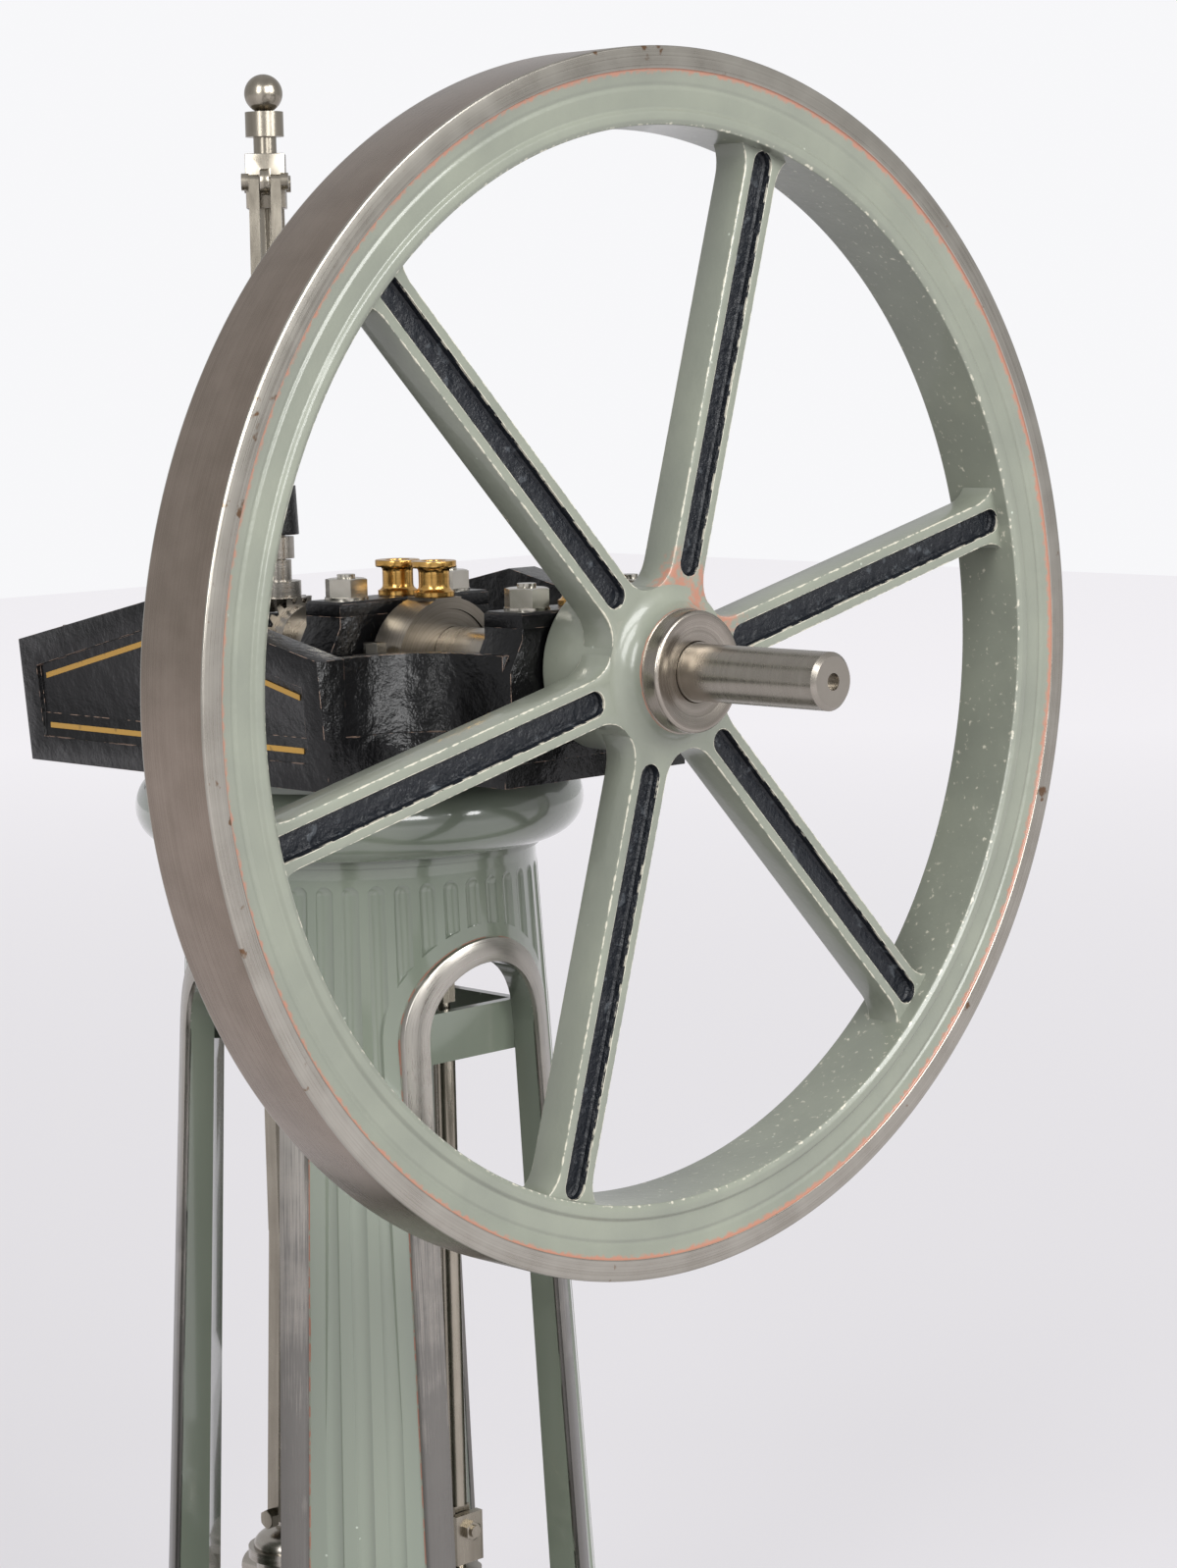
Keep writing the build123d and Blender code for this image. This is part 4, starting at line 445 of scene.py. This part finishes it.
def makeSpokes(s):
    # each level is an outline, its inset or half width, its place, how chipped it is and the material up to the
    # next level: 0 recess, 1 its border, 2 paint
    face, back, deep, rib = s["face"], s["back"], s["slotDepth"], s["ribHalf"]
    levels = [(slotLoop, 0.5, face + deep, 0, 0), (slotLoop, 0.12, face + deep * 0.8, 0, 0),
              (slotLoop, 0.0, face + 0.35, 0.5, 1), (slotLoop, -0.12, face + 0.05, 1.3, 2),
              (slotLoop, -0.3, face, 0.5, 2), (ribLoop, rib, face, 0.2, 2),
              (spokeLoop, 0.55, face, 0.2, 2), (spokeLoop, 0.15, face + 0.12, 1.15, 2),
              (spokeLoop, 0.0, face + 0.5, 0.3, 2), (spokeLoop, 0.0, back - 0.5, 0.3, 2),
              (spokeLoop, 0.2, back - 0.1, 1.0, 2), (spokeLoop, 0.6, back, 0.2, 2),
              (ribLoop, rib, back, 0.2, 2), (slotLoop, -0.3, back, 0.4, 2),
              (slotLoop, 0.0, back - 0.3, 0.5, 1), (slotLoop, 0.15, back - deep * 0.8, 0, 0),
              (slotLoop, 0.5, back - deep, 0, 0)]
    loops = np.stack([level[0](s, level[1]) for level in levels])
    place, chip, material = (np.array([level[i] for level in levels])[:, None] for i in (2, 3, 4))
    # primer on the front fades along a spoke as level exp(-(distance / width)^2)
    fade = np.exp(-((loops[..., 0] - s["rubbedAt"]) / s["rubbedWidth"]) ** 2)
    near = s["rubbedLevel"] * fade * (place < face + 0.6)
    grids = []
    for index, turn in enumerate(np.radians(s["first"] + 360 / s["count"] * np.arange(s["count"]))):
        # turned to its place: (x cos a - y sin a, x sin a + y cos a)
        x = loops[..., 0] * np.cos(turn) - loops[..., 1] * np.sin(turn)
        z = loops[..., 0] * np.sin(turn) + loops[..., 1] * np.cos(turn) + shaftHeight
        points = np.stack([x, np.broadcast_to(place, x.shape), z], -1)
        primer = near * (index < s["rubbed"])
        grids.append(surfaceGrid(points, caps=True, material=material[:-1], chip=chip, primer=primer))
    makePiece("flywheelSpokes", grids, [slotBlack, chippedEdge, wheelPaint], "crank")


makeRim(rim)
makeHub(hub)
makeSpokes(spoke)
print("flywheel built")

# polished bands round the arches, in mm: they lie on the column's taper; their section is (across from the
# opening, out from the column), whose last corners are primer along the outer edge
band = {"sill": 33.0, "spring": 174.6, "halfSill": 16.0, "halfSpring": 13.1, "legPoints": 60, "crownPoints": 49,
        "footHeight": 30.2, "footRadius": 42.0, "neckHeight": 204.0, "neckRadius": 31.9,
        "section": [(0.0, -0.3), (0.0, 0.8), (0.06, 0.94), (0.2, 1.0), (2.1, 1.03), (4.1, 1.0), (4.24, 0.94),
                    (4.3, 0.8), (4.3, 0.06), (4.44, 0.05), (4.48, -0.3)],
        "steelCorners": 8, "brightAbove": 172, "darkening": 140}


def makeBands(b):
    # the path goes up one leg, over the crown and down the other; a point lies on the cone of radius R(z) + rise,
    # so its distance out is sqrt((R + rise)^2 - u^2); tarnish, the painted shade, grows evenly with the depth below
    # brightAbove
    section = np.array(b["section"])
    offset, rise = section[:, 0:1], section[:, 1:2]
    legPlace = np.linspace(b["sill"], b["spring"], b["legPoints"])[:-1]
    legHalf = np.interp(legPlace, [b["sill"], b["spring"]], [b["halfSill"], b["halfSpring"]])
    turn = np.linspace(np.pi, 0, b["crownPoints"])
    leg = legHalf + offset
    crown = b["halfSpring"] + offset
    u = np.concatenate([-leg, crown * np.cos(turn), leg[:, ::-1]], 1)
    z = np.concatenate([np.broadcast_to(legPlace, leg.shape), b["spring"] + crown * np.sin(turn),
                        np.broadcast_to(legPlace[::-1], leg.shape)], 1)
    cone = np.interp(z, [b["footHeight"], b["neckHeight"]], [b["footRadius"], b["neckRadius"]])
    out = np.sqrt((cone + rise) ** 2 - u ** 2)
    material = np.where(np.arange(len(section)) < b["steelCorners"], 0, 1)[None, :]
    tarnish = np.clip((b["brightAbove"] - z.T) / b["darkening"], 0, 1)
    grids = []
    for c, s in ((1, 0), (0, 1), (-1, 0), (0, -1)):   # the cosine and sine of each quarter turn
        points = np.stack([out * c - u * s, out * s + u * c, z], -1).transpose(1, 0, 2)
        grids.append(surfaceGrid(points, caps=True, material=material, across=(offset + rise).T, tarnish=tarnish))
    makePiece("archBandStrips", grids, [bandSteel, barePrimer], "frame", ["arch_bands"])


makeBands(band)
print("bands built")

# oil cups, in mm: turned brass, waisted between two rims and bored; bearing and eccentric are their places
cup = {"rim": 4.0, "foot": 3.6, "waist": 2.75, "height": 6.4, "rimHeight": 1.05, "bore": 2.2, "boreDepth": 4.0,
       "edge": 0.2, "segments": 64, "bearing": [(0.0, -58.1, 252.0), (0.0, -12.0, 252.0)],
       "eccentric": [(-1.5, -23.3, 252.2)]}


def cupGrid(c, place):
    # between the rims the radius is waist + (foot - edge - waist) |2t - 1|^7
    t = np.linspace(0.02, 0.98, 22)
    side = np.stack([c["rimHeight"] + t * (c["height"] - 2 * c["rimHeight"]),
                     c["waist"] + (c["foot"] - c["edge"] - c["waist"]) * np.abs(2 * t - 1) ** 7], -1)
    floor = c["height"] - c["boreDepth"]
    foot = [(0.0, c["foot"]), (c["rimHeight"], c["foot"])]
    top = [(c["height"] - c["rimHeight"], c["rim"]), (c["height"], c["rim"]), (c["height"], c["bore"]),
           (floor, c["bore"])]
    bottom = [(floor - 0.2, 0.05)]   # the drill's shallow point
    outline = np.concatenate([roundedOutline(foot, c["edge"]), side, roundedOutline(top, c["edge"]), bottom])
    return latheGrid(outline + (place[2], 0), c["segments"], place[:2], upright=True, caps=True)


for name, places, body, node in (("bearingOilCups", cup["bearing"], "frame", "bearing_oil_cups"),
                                 ("eccentricCup", cup["eccentric"], "eccentric", "eccentric_oil_cup")):
    makePiece(name, [cupGrid(cup, place) for place in places], [brass], body, [node])
print("oil cups built")

# castings and blocks that keep their node's shape but get rounded edges: width is the rounding in mm, the angles
# are degrees, and the bracket's arm falls towards its post between those places along +Y and heights, in mm
softened = {"sharpFrom": 30, "flatWithin": 0.4, "smoothUnder": 35, "merge": 1e-6, "pieces": {
    "entablatureCasting": {"node": "entablature", "body": "frame", "slot": "black_casting", "width": 0.45,
                           "main": castBlack, "edge": edgeBlack},
    "nearCapBlock": {"node": "near_bearing_cap", "body": "frame", "slot": "black_casting", "width": 0.3,
                     "main": capBlack, "edge": edgeBlack},
    "middleCapBlock": {"node": "middle_bearing_cap", "body": "frame", "slot": "black_casting", "width": 0.3,
                       "main": capBlack, "edge": edgeBlack},
    "governorBracketCasting": {"node": "governor_bracket", "body": "frame", "slot": "black_casting", "width": 0.35,
                               "main": capBlack, "edge": edgeBlack,
                               "fall": {"start": 26.0, "end": 50.0, "drop": 15.0, "floor": 230.0, "top": 262.0}},
    "governorHeadBlock": {"node": "governor_head", "body": "governor", "slot": "bright_steel", "width": 0.25,
                          "main": rodSteel, "edge": turnedSteel},
}}


def softenedCopy(s, name, p):
    # a copy of a node: loose triangles merged, flat faces joined, and each edge sharper than the angle given a
    # small radius, whose faces take the worn edge's material; a fall takes from z the drop * (share of the way
    # from start to end) * (share of the way from floor to top)
    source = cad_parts[p["node"]]
    mesh = source.data.copy()
    mesh.name = name
    mesh.transform(source.matrix_world)
    if "fall" in p:
        f = p["fall"]
        points = np.empty(len(mesh.vertices) * 3)
        mesh.vertices.foreach_get("co", points)
        points = points.reshape(-1, 3)
        along = np.clip((points[:, 1] / mm - f["start"]) / (f["end"] - f["start"]), 0, 1)
        height = np.clip((points[:, 2] / mm - f["floor"]) / (f["top"] - f["floor"]), 0, 1)
        points[:, 2] -= f["drop"] * mm * along * height
        mesh.vertices.foreach_set("co", points.reshape(-1))
    mesh.materials.clear()
    mesh.materials.append(p["main"])
    mesh.materials.append(p["edge"])
    mesh.polygons.foreach_set("material_index", np.zeros(len(mesh.polygons), np.int32))
    shape = bmesh.new()
    shape.from_mesh(mesh)
    bmesh.ops.remove_doubles(shape, verts=shape.verts, dist=s["merge"])
    bmesh.ops.dissolve_limit(shape, angle_limit=np.radians(s["flatWithin"]), verts=shape.verts, edges=shape.edges)
    edges = [e for e in shape.edges if e.is_manifold and e.calc_face_angle() > np.radians(s["sharpFrom"])]
    bmesh.ops.bevel(shape, geom=edges, offset=p["width"] * mm, segments=2, profile=0.5, affect="EDGES",
                    clamp_overlap=True, material=1)
    shape.to_mesh(mesh)
    shape.free()
    mesh.shade_smooth()
    mesh.set_sharp_from_angle(angle=np.radians(s["smoothUnder"]))
    piece = bpy.data.objects.new(name, mesh)
    scene.collection.objects.link(piece)
    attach(piece, p["body"])
    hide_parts(p["node"])


for name, settings in softened["pieces"].items():
    softenedCopy(softened, name, settings)
print("castings softened")

# gold lining on the end panels, in mm: a chevron under the gable and a straight line above the foot; the panel
# leans out from reach, and wall is where the casting's straight wall stands
lining = {"reach": 41.8, "foot": 222.9, "lean": 2.0 / 22.1, "half": 35.4, "low": 229.6, "side": 238.6, "apex": 247.2,
          "width": 0.95, "proud": 0.1, "sunk": 0.1, "wall": 42.7, "points": 61}


def makeLining(s):
    # each line is a thin closed strip on the panel's face, at x = reach + lean (z - foot), or at the wall where that
    # stands further out; the chevron's height is side + (apex - side) (1 - |y| / half)
    run = np.linspace(-s["half"], s["half"], s["points"])
    chevron = s["side"] + (s["apex"] - s["side"]) * (1 - np.abs(run) / s["half"])
    straight = np.full_like(run, s["low"])
    grids = []
    for line in (chevron, straight):
        z = line[:, None] + np.array([-0.5, -0.5, 0.5, 0.5]) * s["width"]
        face = np.maximum(s["reach"] + s["lean"] * (z - s["foot"]), s["wall"])
        x = face + np.array([-s["sunk"], s["proud"], s["proud"], -s["sunk"]])
        y = np.broadcast_to(run[:, None], z.shape)
        grids += [surfaceGrid(np.stack([side * x, y, z], -1), caps=True) for side in (-1, 1)]
    makePiece("panelLining", grids, [gold], "frame")


makeLining(lining)
print("lining built")

# better materials in the slots of the nodes that stay
finishes = [
    (columnPaint, ["column", "base_plate", "guide_frame", "cylinder", "steam_chest"]),
    (strapSteel, ["eccentric_strap", "eccentric_sheave"]),
    (shaftSteel, ["crankshaft", "shaft_bevel_gear"]),
    (nickel, ["cap_nuts", "cover_nuts", "strap_bolts"]),
    (turnedSteel, ["spindle_bevel_gear", "cylinder_cover", "throttle_valve", "valve_gland", "knurled_collar",
                   "governor_collar"]),
    (rodSteel, ["slide_bars", "eccentric_rod", "valve_spindle", "connecting_rod", "crosshead", "piston_rod",
                "throttle_rod", "governor_spindle", "governor_arms", "governor_links"]),
    (brass, ["bearing_bushes"]),
]
for material, names in finishes:
    for name in names:
        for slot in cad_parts[name].material_slots:
            slot.material = material
print("finishes set")

# floor and light, in metres and watts: the softboxes stand where the column's enamel mirrors them; the floor's own
# glow goes from near to far between those distances from the engine, because the lamps light it most close by
studio = {"floorHex": "#EDEBEE", "floorShade": "#959396", "floorSize": 6.0, "glowFrom": 0.3, "glowTo": 2.0,
          "nearGlow": 0.54, "farGlow": 0.82, "floorBounce": 0.35, "worldHex": "#FDFDFF", "worldStrength": 0.46,
          "mirroredStrength": 0.6, "seenStrength": 0.95, "aim": (0, 0, 0.2),
          "lamps": {"windowNear": {"place": (-0.38, -1.24, 0.85), "size": (0.5, 0.9), "power": 13.05},
                    "windowFar": {"place": (0.30, -1.27, 0.85), "size": (0.45, 0.9), "power": 13.05},
                    "leftBox": {"place": (-1.21, -0.47, 0.85), "size": (0.4, 0.9), "power": 11.6}}}


def makeFloor(s):
    half = s["floorSize"] / 2
    mesh = bpy.data.meshes.new("paleFloor")
    mesh.from_pydata([(-half, -half, 0), (half, -half, 0), (half, half, 0), (-half, half, 0)], [], [(0, 1, 2, 3)])
    floor = bpy.data.objects.new("paleFloor", mesh)
    scene.collection.objects.link(floor)
    # matt card: a pale glow that the camera and mirrors see, over a darker face that takes the shadow
    settings = {"Roughness": 0.9, "Base Color": toLinear(s["floorShade"]), "Emission Color": toLinear(s["floorHex"])}
    mat, tree, shader, coords = newMaterial("paleStudioFloor", settings)
    rays = addNode(tree, "ShaderNodeLightPath")
    seen = addNode(tree, "ShaderNodeMath", {"operation": "MAXIMUM"},
                   {0: rays.outputs["Is Camera Ray"], 1: rays.outputs["Is Glossy Ray"]})
    away = addNode(tree, "ShaderNodeVectorMath", {"operation": "LENGTH"}, {0: coords})
    fade = addNode(tree, "ShaderNodeMapRange", {"From Min": s["glowFrom"], "From Max": s["glowTo"],
                                                "To Min": s["nearGlow"], "To Max": s["farGlow"]},
                   {"Value": away.outputs["Value"]})
    glow = addNode(tree, "ShaderNodeMapRange", {"To Min": s["floorBounce"]},
                   {"Value": seen.outputs[0], "To Max": fade.outputs[0]})
    tree.links.new(glow.outputs[0], shader.inputs["Emission Strength"])
    mesh.materials.append(mat)


def makeWorld(s):
    # one strength lights the engine, another is what its metal mirrors, and a third is what the camera sees
    world = bpy.data.worlds.new("studio")
    scene.world = world
    world.use_nodes = True
    tree = world.node_tree
    tree.nodes.clear()
    out = addNode(tree, "ShaderNodeOutputWorld")
    rays = addNode(tree, "ShaderNodeLightPath")
    base = addNode(tree, "ShaderNodeMapRange", {"To Min": s["worldStrength"], "To Max": s["mirroredStrength"]},
                   {"Value": rays.outputs["Is Glossy Ray"]})
    level = addNode(tree, "ShaderNodeMix", {"B": s["seenStrength"]},
                    {"Factor": rays.outputs["Is Camera Ray"], "A": base.outputs[0]})
    light = addNode(tree, "ShaderNodeBackground", {"Color": toLinear(s["worldHex"])}, {"Strength": level.outputs[0]})
    tree.links.new(light.outputs[0], out.inputs[0])


def makeLamps(s):
    for name, settings in s["lamps"].items():
        data = bpy.data.lights.new(name, "AREA")
        data.shape = "RECTANGLE"
        data.size, data.size_y = settings["size"]
        data.energy = settings["power"]
        lamp = bpy.data.objects.new(name, data)
        lamp.location = settings["place"]
        lamp.rotation_euler = (Vector(s["aim"]) - Vector(settings["place"])).to_track_quat("-Z", "Y").to_euler()
        scene.collection.objects.link(lamp)


makeFloor(studio)
makeWorld(studio)
makeLamps(studio)
print("studio set")
